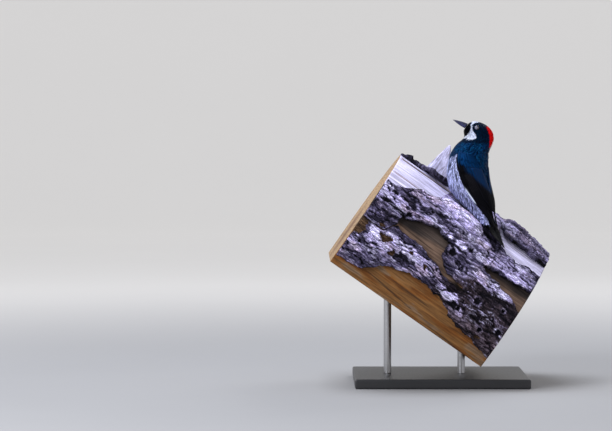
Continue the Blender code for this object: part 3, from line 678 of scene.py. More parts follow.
def bark_relief(along, turn, salt=0):
    """How far each point lies below the bark's outside in millimetres, its height from 0, in a furrow,
    to 1, on a flake, its fibres and how pale it is. Bent, stretched noise cut into steps gives flakes
    that overlap as layers. Where other noise crosses its middle value a furrow runs, and fine fibres
    cover it all. A pale place lies a layer deeper and is smoother, and a pocket has height -1."""
    arc = turn * TRUNK_RADIUS
    a = along + 22 * (clouds(along / 26, arc / 15, salt + 1, 4) - 0.5)
    b = arc + 11 * (clouds(along / 16, arc / 9, salt + 2, 4) - 0.5)
    layers = clouds(a / 46, b / 14, salt + 3, 5) * LAYERS
    ledge = np.floor(layers) + step(0.15, 0.5, layers - np.floor(layers))
    level = (ledge / LAYERS - 0.5) / 0.26
    furrow = step(0.0, 0.06, np.abs(clouds(a / 36, b / 7.5, salt + 6, 4) - 0.5))
    fibre = clouds(a / 13, b / 2.1, salt + 9, 3)
    crumb = noise(along / 2.3, arc / 1.6, salt + 12)
    pale = flaked(along, turn, salt)
    height = 0.58 + 0.26 * level + 0.62 * (fibre - 0.5) + 0.20 * (crumb - 0.5)
    height = np.clip(height * (0.25 + 0.75 * furrow), 0, 1)
    smooth = np.clip(0.60 + 0.30 * (fibre - 0.5) + 0.12 * level, 0, 1) * (0.55 + 0.45 * furrow)
    height = height + (smooth - height) * 0.75 * pale
    calm = step(1.15, 0.75, np.hypot(along / 62, (np.degrees(turn) - 24) / 17))
    depth = (1 - height) * (RELIEF - (RELIEF - CALM_RELIEF) * calm)
    for place, middle, radius in BORE_HOLES:
        away = np.hypot(along - place, arc - math.radians(middle) * TRUNK_RADIUS)
        away = away + 1.4 * (crumb - 0.5) + 1.6 * (fibre - 0.5)
        rim = np.exp(-(((away - 1.5 * radius) / (0.35 * radius)) ** 2)) * step(0.3, 0.6, fibre)
        pit = step(radius * 1.3, radius * 1.04, away)
        height = (height + rim * (0.8 - height) * 0.45) * (1 - pit)
        depth = depth + pit * (HOLE_DEPTH - depth)
        pale = np.maximum(pale, 0.5 * rim) * (1 - pit)
    bare = np.zeros_like(pale)
    for place, middle, half_length, half_width in POCKETS:
        off_a = (a - place - 0.3) / half_length
        off_b = (b - math.radians(middle) * TRUNK_RADIUS) / half_width
        bare = np.maximum(bare, step(1.08, 0.86, np.hypot(off_a, off_b) + 0.25 * (fibre - 0.5)))
    depth = depth + bare * (POCKET_DEPTH - depth)
    return depth, np.where(bare > 0.5, -1, height), fibre, pale


# %% Colour of the bark
# The lilac, chalk, rosy and violet tones carry a painted blue-violet cast of sky light.
FURROW_SHADE, ROSY, CHALK = (0.007, 0.006, 0.010), (0.56, 0.41, 0.43), (0.78, 0.74, 0.95)
VIOLET, BROWN = (0.092, 0.079, 0.136), (0.046, 0.033, 0.038)
LILAC, DULL_LILAC = (0.60, 0.54, 0.80), (0.28, 0.22, 0.26)
POCKET_DARK, POCKET_TAN = (0.040, 0.024, 0.014), (0.125, 0.072, 0.034)


def bark_colour(along, turn, height, fibre, pale, salt=0):
    """Painted shade darkens the furrows and low layers, the flakes are violet grey, and a painted
    highlight lightens the highest ones. Fine dark lines run along the grain. The pale layer is lilac,
    rosy in places. Low on the right the bark is browner, and darker with painted shade."""
    angle = np.degrees(turn)
    arc = turn * TRUNK_RADIUS
    # Painted shade, with a browner tone: the bark low on the right and on the trunk's underside is darker.
    low_right = step(10, 50, along + 2 * (angle - 75)) * step(63, 70, angle)
    middle = mix(VIOLET, BROWN, low_right)
    light = mix(LILAC, DULL_LILAC, step(84, 96, angle) * low_right)
    light = mix(light, CHALK, step(0.5, 0.62, clouds(along / 21, arc / 9, salt + 46, 3)))
    light = mix(light, ROSY, 0.45 * step(0.56, 0.70, clouds(along / 30, arc / 14, salt + 44)))
    # Painted shade: the furrows and low layers are darkened by their height.
    colour = mix(FURROW_SHADE, middle, step(0.16, 0.62, height))
    # Painted highlight: the highest flakes turn lighter.
    flake_height = height + 0.35 * (fibre - 0.5) + 0.10 * step(74, 60, angle) * step(36, 44, angle)
    flake_highlight = step(0.60, 0.90, flake_height)
    colour = mix(colour, mix(middle, light, np.full_like(height, 0.55)), flake_highlight)
    colour = mix(colour, mix(colour, light, step(0.30, 0.52, height)), pale)
    line = np.exp(-(((clouds(along / 34, arc / 3.4, salt + 48, 3) - 0.5) / 0.045) ** 2))
    grain = clouds(along / 7, arc / 1.7, salt + 47, 2)
    colour = colour * ((1 - 0.72 * line) * (0.45 + 1.1 * grain))[..., None]
    pocket = mix(POCKET_DARK, POCKET_TAN, clouds(along / 30, arc / 2.2, salt + 49, 2))
    return np.where((height < 0)[..., None], pocket, colour)


# %% Finish of bark
def bark_finish():
    """Crumbly fine noise over the colours, all matt."""
    finish = Finish("flaky_bark", Specular_IOR_Level=0.12)
    local = finish.place(turn=(0, -TRUNK_SLOPE, 0), shift=tuple(-AXIS_POINT), scale=(0.26, 2.3, 2.3))
    crumbs = finish.noise(local, 300, 5, 0.75, 0.7)
    flecks = finish.noise(local, 640, 3, 0.7, 1.2)
    tint = finish.blend(crumbs.clamp(0.36, 0.64), (0.26, 0.24, 0.27), (1.62, 1.62, 1.70))
    lines = finish.blend(flecks.clamp(0.38, 0.62), (0.35, 0.33, 0.36), (1.55, 1.54, 1.60))
    height = crumbs * 0.6 + flecks * 0.4
    return finish.feed(
        Base_Color=finish.times(finish.times(finish.colour_of("stain_and_shade"), tint), lines),
        Roughness=0.8 + flecks * 0.18,
        Normal=finish.bump(height, 0.9, 0.0016),
    )


flaky_bark = bark_finish()


# %% A plate's grid, with torn borders
def plate_grid(a_from, a_to, edges, grain, torn, joined):
    """Places along, angles round and shares across of a plate's grid, and each point's distance from
    the nearest border. Noise tears the two long edges, and the ends that join no neighbour."""
    table = np.array(edges, float)
    rows = int((a_to - a_from) / grain)
    widest = np.radians((table[:, 2] - table[:, 1]).max()) * TRUNK_RADIUS
    columns = max(8, int(widest / grain))
    u = np.linspace(0, 1, rows)[:, None]
    v = np.linspace(0, 1, columns)[None, :]
    even_low = a_from <= 1 - TRUNK_HALF or "low" in joined
    even_high = a_to >= TRUNK_HALF - 1 or "high" in joined
    tear_low, tear_high = (torn * 2.4 * (clouds(v * widest / 7, v * 0, k, 5) - 0.2) for k in (61, 62))
    along = a_from + (a_to - a_from) * u + 0 * v
    along = along + tear_low * (not even_low) * (1 - u) ** 6 - tear_high * (not even_high) * u**6
    rag_low, rag_high = (torn * 1.25 * (clouds(along / 8, 0 * along, k, 5) - 0.3) for k in (63, 64))
    low = np.interp(along, table[:, 0], table[:, 1]) + rag_low
    high = np.interp(along, table[:, 0], table[:, 2]) - rag_high
    from_border = np.minimum(v, 1 - v) * widest + 0 * u
    for even, share in ((even_low, u), (even_high, 1 - u)):
        if not even:
            from_border = np.minimum(from_border, share * (a_to - a_from))
    return along, np.radians(low + (high - low) * v), v + 0 * u, from_border


# %% A plate of bark
def bark_plate(name, node, a_from, a_to, edges, grain=1.15, lift=None, torn=2.2, joined=()):
    """The outside and the underside of one plate, walled round. Near its edges it grows thin and curls
    up a little, and painted shade darkens it there; its underside is coloured with painted shade too.
    lift is a function of place along and of the share across, from 0 to 1, that raises the plate in
    millimetres. joined names the ends, low or high, that run on into a neighbour; a low one dips under it."""
    along, turn, across, from_border = plate_grid(a_from, a_to, edges, grain, torn, joined)
    depth, height, fibre, pale = bark_relief(along, turn)
    rim = step(0.0, 7.0, from_border)
    curl = (1 - rim) ** 2 * (1.4 * noise(along / 14, turn * 10, 66) - 0.2)
    raised = curl + (lift(along, across) if lift else 0)
    outer = TRUNK_RADIUS + bark_swell(along, turn) - depth * (0.35 + 0.65 * rim) - 1.6 * (1 - rim)
    inner = TRUNK_RADIUS - BARK_THICK + 0.15 + 1.2 * (1 - rim) * noise(along / 5, turn * 30, 67)
    outer = np.maximum(outer, inner + 0.7)
    if "low" in joined:
        outer = outer - 1.2 * step(4.0, 1.0, along - a_from)
    stain_and_shade = bark_colour(along, turn, height, fibre, pale)
    # Painted shade: the colour darkens within 2.5 mm of the plate's border.
    shade = 0.42 + 0.58 * step(0, 2.5, from_border)
    rows, columns = along.shape
    u, v = np.linspace(0, 1, rows)[:, None], np.linspace(0, 1, columns)
    flat = np.stack(np.broadcast_arrays(u * 0.99 + 0.005, v * 0.49 + 0.005), axis=-1)
    piece(
        name,
        np.stack([on_trunk(along, turn, outer + raised), on_trunk(along, turn, inner + raised)]),
        shell_faces(rows, columns),
        flaky_bark,
        replaces=(node,),
        # Painted shade: the underside gets a third of the outside's colour.
        colours={"stain_and_shade": np.stack([stain_and_shade * shade[..., None], stain_and_shade * 0.35])},
        maps={"OFBake": np.stack([flat, flat + [0, 0.5]])},
    )


# %% How loose plates lift
def crest_lift(along, across):
    """The loose plate on the right stands off the wood from the top line to its near edge."""
    most = np.interp(along, (24, 37, 46, 56, 66, 84, 100, 120, 139), (5, 5, 3, 7, 10.5, 9, 6, 2.5, 0.5))
    jag = 3.4 * (clouds(along / 7, across * 5, 75, 4) - 0.5) * step(139, 128, along)
    fallen = 0.6 * np.clip((across - 0.5) / 0.5, 0, 1)
    return (most + jag) * np.clip(across / 0.5, 0, 1) ** 1.5 * (1 - fallen)


def shard_lift(along, across):
    """The shard on the top line rises from its left end and overhangs a dark hollow."""
    rise = np.interp(along, (-112, -98, -84, -50), (0, 1.5, 10, 10))
    jag = 2.6 * (clouds(along / 6, across * 3, 73, 3) - 0.5) * step(0.2, 0.8, across)
    return rise * np.clip((across - 0.35) / 0.65, 0, 1) ** 1.5 + jag


def back_lift(along, across):
    """Behind the silver wood the torn edge of the far plate stands up in shards."""
    shards = step(0.35, 0.75, clouds(along / 9, across * 0, 71, 3))
    return 7.0 * step(0.90, 1.0, across) * shards * step(-16, -34, along) * step(-139, -120, along)


# %% The plates, as the solid model parts them
FAR_EDGE = -math.degrees(math.acos(-SAWN_BELOW_AXIS / TRUNK_RADIUS))
# Each plate's name and node, where along it starts and ends, and its two long edges: a place along and
# the degrees round of both edges there.
PLATES = {
    ("under_bird", "saddle", -139, 64): (
        ((-139, 47.5, 61), (-124, 48, 61), (-105, 44, 61.5), (-92, 39.5, 63.4), (-82, 37.5, 62.4)),
        ((-68, 36.5, 59.8), (-54, 33.5, 58), (-41, 16.5, 56), (-32, 5.5, 55.8), (-18, -10, 58.5)),
        ((-2, -23, 59.6), (19, -26, 60), (25, 7, 59.6), (44, 11, 59), (54, 32, 58.8), (64, 36, 58.5)),
    ),
    ("by_tail", "near", 60, 139): (
        ((60, 36, 58.5), (66, 38, 58.5), (78, 41.5, 58), (92, 42.5, 57.5)),
        ((110, 41, 56.8), (139, 40.8, 55.6)),
    ),
    ("loose_crest", "crest", 24, 139): (
        ((24, -28, 5.5), (42, -28, 9), (50, -28, 14.5), (58, -28, 25.5), (70, -28, 29), (139, -32, 29.5)),
    ),
    ("shard", "shard", -113, -49): (
        ((-113, -4.5, 3), (-96, -4.5, 9), (-78, -4.5, 15), (-62, -4.5, 17), (-49, -4.5, 11)),
    ),
    ("upper_left", "left", -139, -89): (
        ((-139, 60.5, 76.4), (-101, 61, 76.2), (-94, 62.4, 71.6), (-88.5, 63, 69.4)),
    ),
    ("between_hollows", "middle", -8, 55.5): (
        ((-8, 60, 68.4), (5, 59.2, 73.6), (21, 58.0, 76.2), (42, 57.6, 77.8), (55, 57.6, 79)),
    ),
    ("lower_left", "lower", -139, 56): (
        ((-139, 76, 104), (-101, 76, 103), (-94, 71, 102.2), (-87, 69.2, 99.8), (-75, 70, 94)),
        ((-48, 70.8, 90.5), (-32, 71.6, 89), (-15, 74, 88.5), (-2, 75.6, 88.8), (25, 78.4, 90.5)),
        ((44, 79.2, 92.5), (54, 78, 95.8)),
    ),
    ("lower_right", "right", 51, 139): (
        ((51, 58.5, 96), (60, 60.5, 97), (75, 61.5, 98.5), (100, 63.4, 100), (118, 66, 101.5)),
        ((139, 70.5, 103.5),),
    ),
    ("far_side", "back", -139, 139): (
        ((-139, FAR_EDGE, -14), (-80, FAR_EDGE, -10), (-46, FAR_EDGE, -12), (-20, FAR_EDGE, -24)),
        ((10, FAR_EDGE, -34), (139, FAR_EDGE, -36)),
    ),
}
# What some plates have that the others don't.
PLATE_WAYS = {
    "by_tail": {"joined": ("low",)},
    "loose_crest": {"lift": crest_lift},
    "shard": {"lift": shard_lift, "torn": 2.6},
    "upper_left": {"torn": 1.4},
    "between_hollows": {"torn": 1.6, "joined": ("high",)},
    "lower_left": {"joined": ("high",)},
    "lower_right": {"joined": ("low",)},
    "far_side": {"grain": 1.7, "lift": back_lift},
}
for (name, node, a_from, a_to), edges in PLATES.items():
    ways = PLATE_WAYS.get(name, {})
    bark_plate("bark_" + name, "perch_bark_" + node, a_from, a_to, sum(edges, ()), **ways)

# %% [markdown]
# ## The body's surface
#
# The bird is one loft. Each station names its throat-side and back-side points and its half width, and
# a smooth curve runs through them all. Skin and feathers both read this surface, so they share one
# pair of coordinates: the station, and the angle round from the keel of the breast to the back.

# %% Stations of the body, in millimetres from the tail tip, as in the solid model
# Each has its name, forward and up of its throat side and of its back side, its half width, and how far
# its widest place is shifted round.
STATIONS = (
    ("bill base", (19.0, 184.6), (14.6, 191.2), 5.2, 0.0),
    ("lores", (20.8, 180.8), (10.2, 193.4), 9.2, 0.05),
    ("forehead", (20.7, 177.6), (2.0, 194.6), 12.4, 0.12),
    ("eye", (20.3, 174.8), (-8.2, 191.8), 13.8, 0.15),
    ("crown", (20.3, 172.2), (-17.2, 185.8), 14.3, 0.1),
    ("nape", (21.2, 169.4), (-22.8, 177.4), 15.2, 0.0),
    ("collar", (24.0, 166.2), (-23.8, 167.5), 17.0, 0.0),
    ("neck", (30.5, 161.6), (-20.5, 157.5), 20.5, 0.0),
    ("shoulders", (38.5, 155.0), (-15.8, 149.5), 24.2, 0.0),
    ("breast", (44.8, 146.5), (-13.2, 141.0), 26.6, 0.0),
    ("keel", (49.0, 134.5), (-12.4, 130.5), 28.2, 0.0),
    ("chest", (50.6, 120.5), (-13.2, 117.5), 29.0, 0.0),
    ("belly", (48.6, 106.0), (-15.4, 103.0), 28.6, 0.0),
    ("low belly", (40.6, 91.2), (-18.6, 88.0), 28.0, -0.06),
    ("flanks", (26.6, 79.2), (-21.6, 73.5), 24.8, -0.04),
    ("vent", (9.8, 65.4), (-24.0, 59.5), 20.4, -0.04),
    ("rump", (-6.4, 48.6), (-26.0, 46.5), 16.4, -0.08),
    ("tail coverts", (-20.5, 35.6), (-29.0, 36.0), 14.6, -0.1),
    ("mid tail", (-29.2, 24.2), (-32.8, 25.8), 15.2, -0.1),
    ("low tail", (-39.4, 12.4), (-41.3, 13.6), 10.4, -0.1),
    ("tail tip", (-49.1, 0.9), (-49.9, 1.6), 2.6, 0.0),
)
YAW_FROM, YAW_TO = 5.0, 9.0  # the stations between which the neck turns
COLUMNS = np.array([[*low, *back, wide, shift] for _, low, back, wide, shift in STATIONS])


# %% The surface itself
def stations_at(where):
    """The six numbers of a station, at any place between stations, by a Catmull-Rom curve."""
    last = len(COLUMNS) - 1
    where = np.clip(np.asarray(where, float), 0, last)
    low = np.minimum(where.astype(int), last - 1)
    t = (where - low)[..., None]
    first, second = COLUMNS[low], COLUMNS[low + 1]
    before, after = COLUMNS[np.maximum(low - 1, 0)], COLUMNS[np.minimum(low + 2, last)]
    return (
        (2 * t**3 - 3 * t**2 + 1) * first
        + (t**3 - 2 * t**2 + t) * (second - before) / 2
        + (3 * t**2 - 2 * t**3) * second
        + (t**3 - t**2) * (after - first) / 2
    )


def heading(where):
    """The head's heading, turning smoothly to the body's along the neck."""
    return HEAD_YAW + (BODY_YAW - HEAD_YAW) * step(YAW_FROM, YAW_TO, where)


def body(where, around):
    """A point of the outer surface: an ellipse between the throat-side and the back-side point."""
    where, around = np.broadcast_arrays(np.asarray(where, float), np.asarray(around, float))
    low_f, low_z, back_f, back_z, wide, shift = np.moveaxis(stations_at(where), -1, 0)
    share = (1 - np.cos(around)) / 2
    forward = low_f + (back_f - low_f) * share
    up = low_z + (back_z - low_z) * share
    left = wide * np.sin(around - shift * np.sin(around))
    return BIRD_PLACE + turned(forward, left, up, heading(where))


def side_angle(around):
    """Degrees round from the keel, 0, to the back, 180, the same on both sides."""
    return np.degrees(np.abs(np.mod(around + np.pi, 2 * np.pi) - np.pi))


def frame_at(surface, where, around, small=0.01):
    """The surface's two directions and its outward one, from small steps inside its ends."""
    where = np.clip(where, 2 * small, len(COLUMNS) - 1 - 2 * small)
    along = (surface(where + small, around) - surface(where - small, around)) / (2 * small)
    round_it = (surface(where, around + small) - surface(where, around - small)) / (2 * small)
    return along, round_it, unit(np.cross(along, round_it))


# %% [markdown]
# ## Markings
#
# This woodpecker wears a clown's face: white forehead and cheek, a black chin and a red nape. A female
# has a black band between the white and the red. The borders could be drawn on a flat map, but that
# shears on a round head. Here one function gives the colour anywhere on the body from the two
# coordinates, so skin and feathers agree, and each border is a line through a few listed places.

# %% Plumage colours
# The pale colours carry a painted blue cast of sky light. The breast and lower belly colours are that white
# darkened with painted shade.
WHITE = np.array([0.74, 0.80, 0.97])
CREAM = np.array([0.76, 0.80, 0.90])
BLACK = np.array([0.0016, 0.0015, 0.0028])
BLUE = np.array([0.0012, 0.026, 0.092])
SHEEN_TEAL = np.array([0.002, 0.062, 0.15])
NAVY = np.array([0.0015, 0.008, 0.026])
RED = np.array([0.80, 0.003, 0.004])
BREAST_IN_SHADE = np.array([0.60, 0.65, 0.98])
BELLY_IN_SHADE = np.array([0.48, 0.50, 0.86])


def plumage(where, around):
    """Colour and gloss, 0 to 1, for each station and angle, the same on both sides."""
    angle = side_angle(around)
    where = np.asarray(where, float)
    wavy = where + 0.5 * (clouds(where * 2.3, angle / 7, 81, 3) - 0.5)
    colour = mix(np.broadcast_to(BLUE, where.shape + (3,)), NAVY, step(6.9, 6.2, wavy))
    gloss = np.ones(where.shape)

    front = np.interp(angle, (0, 30, 43, 61, 84, 113, 160, 180), (4.5, 4.1, 3.7, 3.3, 2.5, 1.7, 1.15, 1.1))
    behind = np.interp(angle, (100, 104, 112, 124, 156, 180), (2.45, 2.25, 2.02, 2.0, 2.35, 2.45))
    upper = np.interp(where, (1.5, 2.2, 2.4, 2.75, 3.3, 3.9, 4.8, 5.4), (125, 108, 100, 90, 81, 80, 84, 88))
    bottom = np.interp(angle, (0, 30, 44, 54, 71, 82, 92), (4.75, 5.0, 5.3, 5.55, 5.65, 5.6, 5.4))
    over_eye = step(behind + 0.08, behind - 0.08, where) * step(100, 103, angle)
    on_cheek = step(upper + 1.5, upper - 1.5, angle) * step(bottom + 0.08, bottom - 0.08, where)
    face = step(front - 0.10, front + 0.10, where) * np.maximum(over_eye, on_cheek * step(104, 101, angle))
    colour = mix(colour, mix(WHITE, CREAM, step(70, 40, angle)), face)
    colour = mix(colour, BLACK, step(front + 0.05, front - 0.15, where))

    red_from = np.interp(angle, (130, 142, 150, 165, 180), (9, 4.35, 3.9, 3.7, 3.65))
    red_side = np.interp(where, (3.6, 4.1, 4.8, 5.5, 6.2, 7.0, 7.3), (150, 141, 141, 143, 150, 168, 181))
    crown = step(red_from - 0.12, red_from + 0.12, where) * step(red_side - 2, red_side + 2, angle)
    crown = crown * step(7.2, 6.9, where)
    colour = mix(colour, RED, crown)

    stations = (8.6, 9.0, 10, 11, 12, 13, 14.5, 16, 17.5)
    under_side = np.interp(where, stations, (70, 84, 92, 99, 103, 108, 114, 119, 124))
    under = step(under_side + 3, under_side - 3, angle)
    band = np.interp(angle, (0, 30, 60, 84), (9.6, 9.5, 9.2, 8.6))
    below = step(band - 0.25, band + 0.45, wavy) * under
    # Painted shade: below the breast band the white grows darker down the belly and towards the keel.
    tone = mix(BREAST_IN_SHADE, BELLY_IN_SHADE, step(10.5, 14.5, where + 0.012 * (90 - angle)))
    colour = mix(colour, tone, below)
    rump = step(13.4, 13.8, where) * step(14.9, 14.6, where) * (1 - under)
    colour = mix(colour, WHITE * 0.9, rump)
    for pale in (face, crown, below, rump):
        gloss = gloss * (1 - pale)
    tail = np.maximum(step(14.6, 14.9, where) * (1 - under), step(16.75, 17.0, where))
    colour = mix(colour, BLACK, tail)
    return colour, np.where(tail > 0.5, 0.5, gloss)


# %% Streaks and fullness
def streaks(where, around):
    """How strongly a dark streak marks the feathers: long thin lines on the breast, wider and softer
    ones on the flanks, where much stretched noise is high."""
    angle = side_angle(around)
    breast = step(8.6, 9.0, where) * step(13.4, 10.4, where)
    flank = step(9.5, 10.5, where) * step(17.5, 15.0, where) * step(38, 70, angle)
    lines = noise(angle / 2.5 + 1.2 * noise(where / 0.9, angle / 9, 84), where / 1.3, 83)
    mask = step(0.56 - 0.10 * breast, 0.74 - 0.10 * breast, lines)
    return mask * np.clip(0.9 * breast + 0.75 * flank, 0, 1) * step(122, 112, angle)


def proud(where, around):
    """Millimetres that the plumage stands proud of the solid: the nape and back are full, the flanks
    fluff out over the feet, and the upper breast is sleek."""
    angle = side_angle(around)
    nape = np.interp(where, (0, 3, 4.5, 5.6, 7.2, 8.6, 10, 13), (0.2, 0.4, 1.1, 1.9, 2.7, 2.3, 1.6, 1.6))
    flank = np.interp(where, (10.5, 11.5, 12.5, 13.5, 15, 16, 16.8), (0.3, 1.2, 4.0, 6.5, 7.0, 4.5, 0.4))
    sleek = np.interp(where, (6.5, 8, 9.5, 11), (0.2, -0.9, -0.8, 0.3))
    side = step(130, 160, angle)
    front = step(95, 60, angle)
    flank = flank * (0.3 + 0.7 * step(4, 24, angle))
    return nape * side + 0.4 * (1 - side) * (1 - front) + front * np.where(where > 10.75, flank, sleek)


# %% [markdown]
# ## Finish of feathers
#
# The dark plumage shines blue-black: thin layers in the barbs reflect blue, as a metal does. A clear
# coat would shine white, so the gloss number turns up the metal share and the smoothness instead, where
# the plumage is dark. Barbs are fine slanting lines on each vane's own map, so they follow its shaft.


# %% Feather finish
def feather_finish():
    """Colour and gloss come from each feather; barbs slant from its shaft."""
    finish = Finish("plumage", Specular_IOR_Level=0.06)
    gloss = finish.number_of("gloss")
    vane = finish.node("ShaderNodeUVMap", uv_map="vane")
    across, down, _ = finish.axes(vane)
    side = across.math("ABSOLUTE")
    barbs = (down * 9000 + side * 5200).math("SINE") * 0.5 + 0.5
    fluff = finish.noise(finish.place(), 900, 3)
    tint = finish.blend(fluff.clamp(0.3, 0.72), (0.74, 0.74, 0.76), (1.2, 1.2, 1.2))
    return finish.feed(
        Base_Color=finish.times(finish.colour_of("hue"), tint),
        Metallic=gloss * 0.7,
        Roughness=0.82 - gloss * 0.34 + fluff * 0.08,
        Normal=finish.bump(barbs * 0.5 + fluff * 0.5, 0.35, 0.00025),
    )


plumes = feather_finish()

# %% [markdown]
# ## Skin
#
# Between the feathers a bird's body shows only where they part, so one closed skin lies under them and
# takes the place of the solid head, neck and trunk. Joining three scaled spheres would leave creases.
# The body's own surface, moved inwards by the depth of the coat, gives it without any.


# %% Skin under the feathers
def coat_depth(where):
    """How far the skin lies inside the feather tips, in millimetres: thin on the face."""
    return np.interp(where, (0, 2, 5, 8, 11, 15, 17, 18), (0.7, 0.9, 1.2, 2.0, 2.4, 2.2, 1.2, 0.8))


def make_skin():
    """Closed rings from the bill to the root of the tail, each one point at the two ends."""
    where = np.concatenate([np.linspace(0, 6, 90), np.linspace(6, 17.7, 130)[1:]])
    around = np.linspace(0, 2 * np.pi, 120, endpoint=False)
    grid_w, grid_a = np.meshgrid(where, around, indexing="ij")
    _, _, normal = frame_at(body, grid_w, grid_a)
    points = body(grid_w, grid_a) - normal * coat_depth(grid_w)[..., None] * MM
    for end in (0, -1):
        middle = points[end].mean(axis=0)
        points[end] = middle + (points[end] - middle) * 0.02
    colour, gloss = plumage(grid_w, grid_a)
    flat = unwrap(grid_a / (2 * np.pi), grid_w / 18)
    piece(
        "skin",
        points,
        tube_faces(*grid_w.shape),
        plumes,
        replaces=("head", "neck", "trunk"),
        colours={"hue": colour * 0.8},
        numbers={"gloss": gloss * 0.5},
        maps={"OFBake": flat, "vane": flat * 0.2},
    )


make_skin()

# %% [markdown]
# ## Laying feathers
#
# Small feathers lie on a bird like roof tiles: each covers the root of the next. A hair system would
# give strands without vanes, and a bump map gives no ragged outline. So every feather is a thin closed
# vane. Its middle line runs over the surface, its width is laid off to both sides on the same surface,
# so it bends with the body, and it starts low and ends high. All the vanes of a patch are one mesh.


# %% Vanes on a surface
def vanes(surface, path_w, path_a, half_width, height, thick, columns, camber):
    """Points of many vanes. path_w and path_a (feathers, rows) give the middle lines on the surface;
    half_width, height and thick (feathers, rows) are in millimetres. Each row is a closed ring of
    points: the upper side from left to right, then the lower side back."""
    share = np.linspace(-1, 1, columns)
    ring = np.concatenate([share, share[-2:0:-1]])
    upper = np.concatenate([np.ones(columns), np.zeros(columns - 2)])
    along, round_it, _ = frame_at(surface, path_w, path_a)
    run_w = np.gradient(path_w, axis=1)[..., None]
    run_a = np.gradient(path_a, axis=1)[..., None]
    forward = unit(along * run_w + round_it * run_a)
    sideways = unit(np.cross(np.cross(along, round_it), forward))
    first, second = (sideways * along).sum(-1), (sideways * round_it).sum(-1)
    a, b, c = (along * along).sum(-1), (along * round_it).sum(-1), (round_it * round_it).sum(-1)
    scale = 1 / np.maximum(a * c - b * b, 1e-14)
    step_w, step_a = (c * first - b * second) * scale, (a * second - b * first) * scale
    offset = half_width[..., None] * ring * MM
    point_w = path_w[..., None] + step_w[..., None] * offset
    point_a = path_a[..., None] + step_a[..., None] * offset
    rise = height[..., None] + camber * (1 - ring**2) + (upper - 0.5) * thick[..., None] * (1 - ring**4)
    _, _, normal = frame_at(surface, point_w, point_a)
    points = surface(point_w, point_a) + normal * (rise * MM)[..., None]
    return points, point_w, point_a, ring + 0 * point_w


# %% One piece of many vanes
def feather_piece(name, surface, path_w, path_a, half_width, height, thick, painter, slot, **more):
    """Builds the vanes, asks painter for their colour and gloss, and joins them in one piece. more
    holds columns, camber and replaces, and root_map, each vane's place on the map, which without it is
    its root's place on the body."""
    sizes = (half_width, height, thick, more["columns"], more["camber"])
    points, point_w, point_a, side = vanes(surface, path_w, path_a, *sizes)
    count, rows, ring = points.shape[:3]
    along = np.broadcast_to(np.linspace(0, 1, rows)[None, :, None], points.shape[:3])
    colour, gloss = painter(point_w, point_a, side, along)
    starts = (np.arange(count) * rows * ring)[:, None, None]
    faces = (quads(rows, ring, wrap=True)[None] + starts).reshape(-1, 4)
    on_body = np.stack([np.mod(path_a[:, 0] / (2 * np.pi), 1), path_w[:, 0] / 20.5], axis=-1)
    patch = np.stack([side * 0.0015, along * 0.003], axis=-1)
    bake = more.get("root_map", on_body)[:, None, None, :] * 0.985 + 0.005 + patch
    length = np.linalg.norm(points[:, -1, 0] - points[:, 0, 0], axis=-1)[:, None, None]
    vane_map = np.stack([side * half_width[..., None] * MM, along * length], axis=-1)
    piece(
        name,
        points,
        [faces, fans(count, rows, ring)],
        plumes,
        colours={"hue": colour},
        numbers={"gloss": gloss},
        maps={"OFBake": bake, "vane": vane_map},
        replaces=more.get("replaces", ()),
    )


# %% Where small feathers grow
def sown(w_from, w_to, gap, keep, seed):
    """Roots spread evenly over the surface, gap millimetres apart: each band of stations gets as many
    as its area needs, and they are spaced by area round it, with a little scatter. keep tells which
    places grow feathers."""
    chance = np.random.default_rng(seed)
    all_w, all_a = [], []
    where = w_from
    around = np.linspace(-np.pi, np.pi, 181)
    while where < w_to:
        along, round_it, _ = frame_at(body, np.full(181, where), around)
        area = np.linalg.norm(np.cross(along, round_it), axis=-1) / MM**2
        reach = gap / max(np.linalg.norm(along, axis=-1).mean() / MM, 1e-6)
        total = np.concatenate([[0], np.cumsum((area[1:] + area[:-1]) / 2 * np.diff(around))])
        count = max(6, int(total[-1] * reach / gap**2))
        picks = (np.arange(count) + chance.random() + 0.35 * chance.standard_normal(count)) / count
        all_a.append(np.interp(np.mod(picks, 1) * total[-1], total, around))
        all_w.append(where + reach * 0.8 * (chance.random(count) - 0.5))
        where += reach
    all_w, all_a = np.concatenate(all_w), np.concatenate(all_a)
    chosen = keep(all_w, all_a)
    return all_w[chosen], all_a[chosen]


# %% Middle lines and colours of small feathers
def paths(root_w, root_a, length, swing, rows):
    """Straight middle lines from each root, towards the tail and swung sideways by an angle."""
    along, round_it, _ = frame_at(body, root_w, root_a)
    size_w = np.linalg.norm(along, axis=-1) / MM
    size_a = np.linalg.norm(round_it, axis=-1) / MM
    t = np.linspace(0, 1, rows)
    path_w = root_w[:, None] + (length * np.cos(swing) / size_w)[:, None] * t
    path_a = root_a[:, None] + (length * np.sin(swing) / size_a)[:, None] * t
    return path_w, path_a


STREAK = (0.030, 0.034, 0.075)


def small_painter(count, seed):
    """Each small feather takes the markings at the middle of its length, with its own lightness, and
    breast and flank feathers get a dark streak along the shaft."""
    chance = np.random.default_rng(seed)
    light = 1 + 0.16 * chance.standard_normal(count)

    def paint(point_w, point_a, _, along):
        """Colour and gloss at the vanes' points."""
        middle_w = point_w[:, :, :1].mean(axis=1, keepdims=True)
        middle_a = point_a[:, :, :1].mean(axis=1, keepdims=True)
        colour, gloss = plumage(middle_w + 0 * point_w, middle_a + 0 * point_a)
        colour = mix(colour, STREAK, 0.9 * streaks(point_w, point_a) * (gloss < 0.5))
        # Painted sheen: the lighter glossy blue feathers lean towards teal.
        shiny = np.clip(light - 0.95, 0, 0.3)[:, None, None] / 0.3 * (colour[..., 2] < 0.12) * (gloss > 0.5)
        colour = mix(colour, SHEEN_TEAL * np.clip(colour[..., 2:] / BLUE[2], 0, 1), 0.6 * shiny)
        own = np.clip(light, 0.6, 1.4)[:, None, None] * (0.84 + 0.20 * along)
        return colour * own[..., None], gloss

    return paint


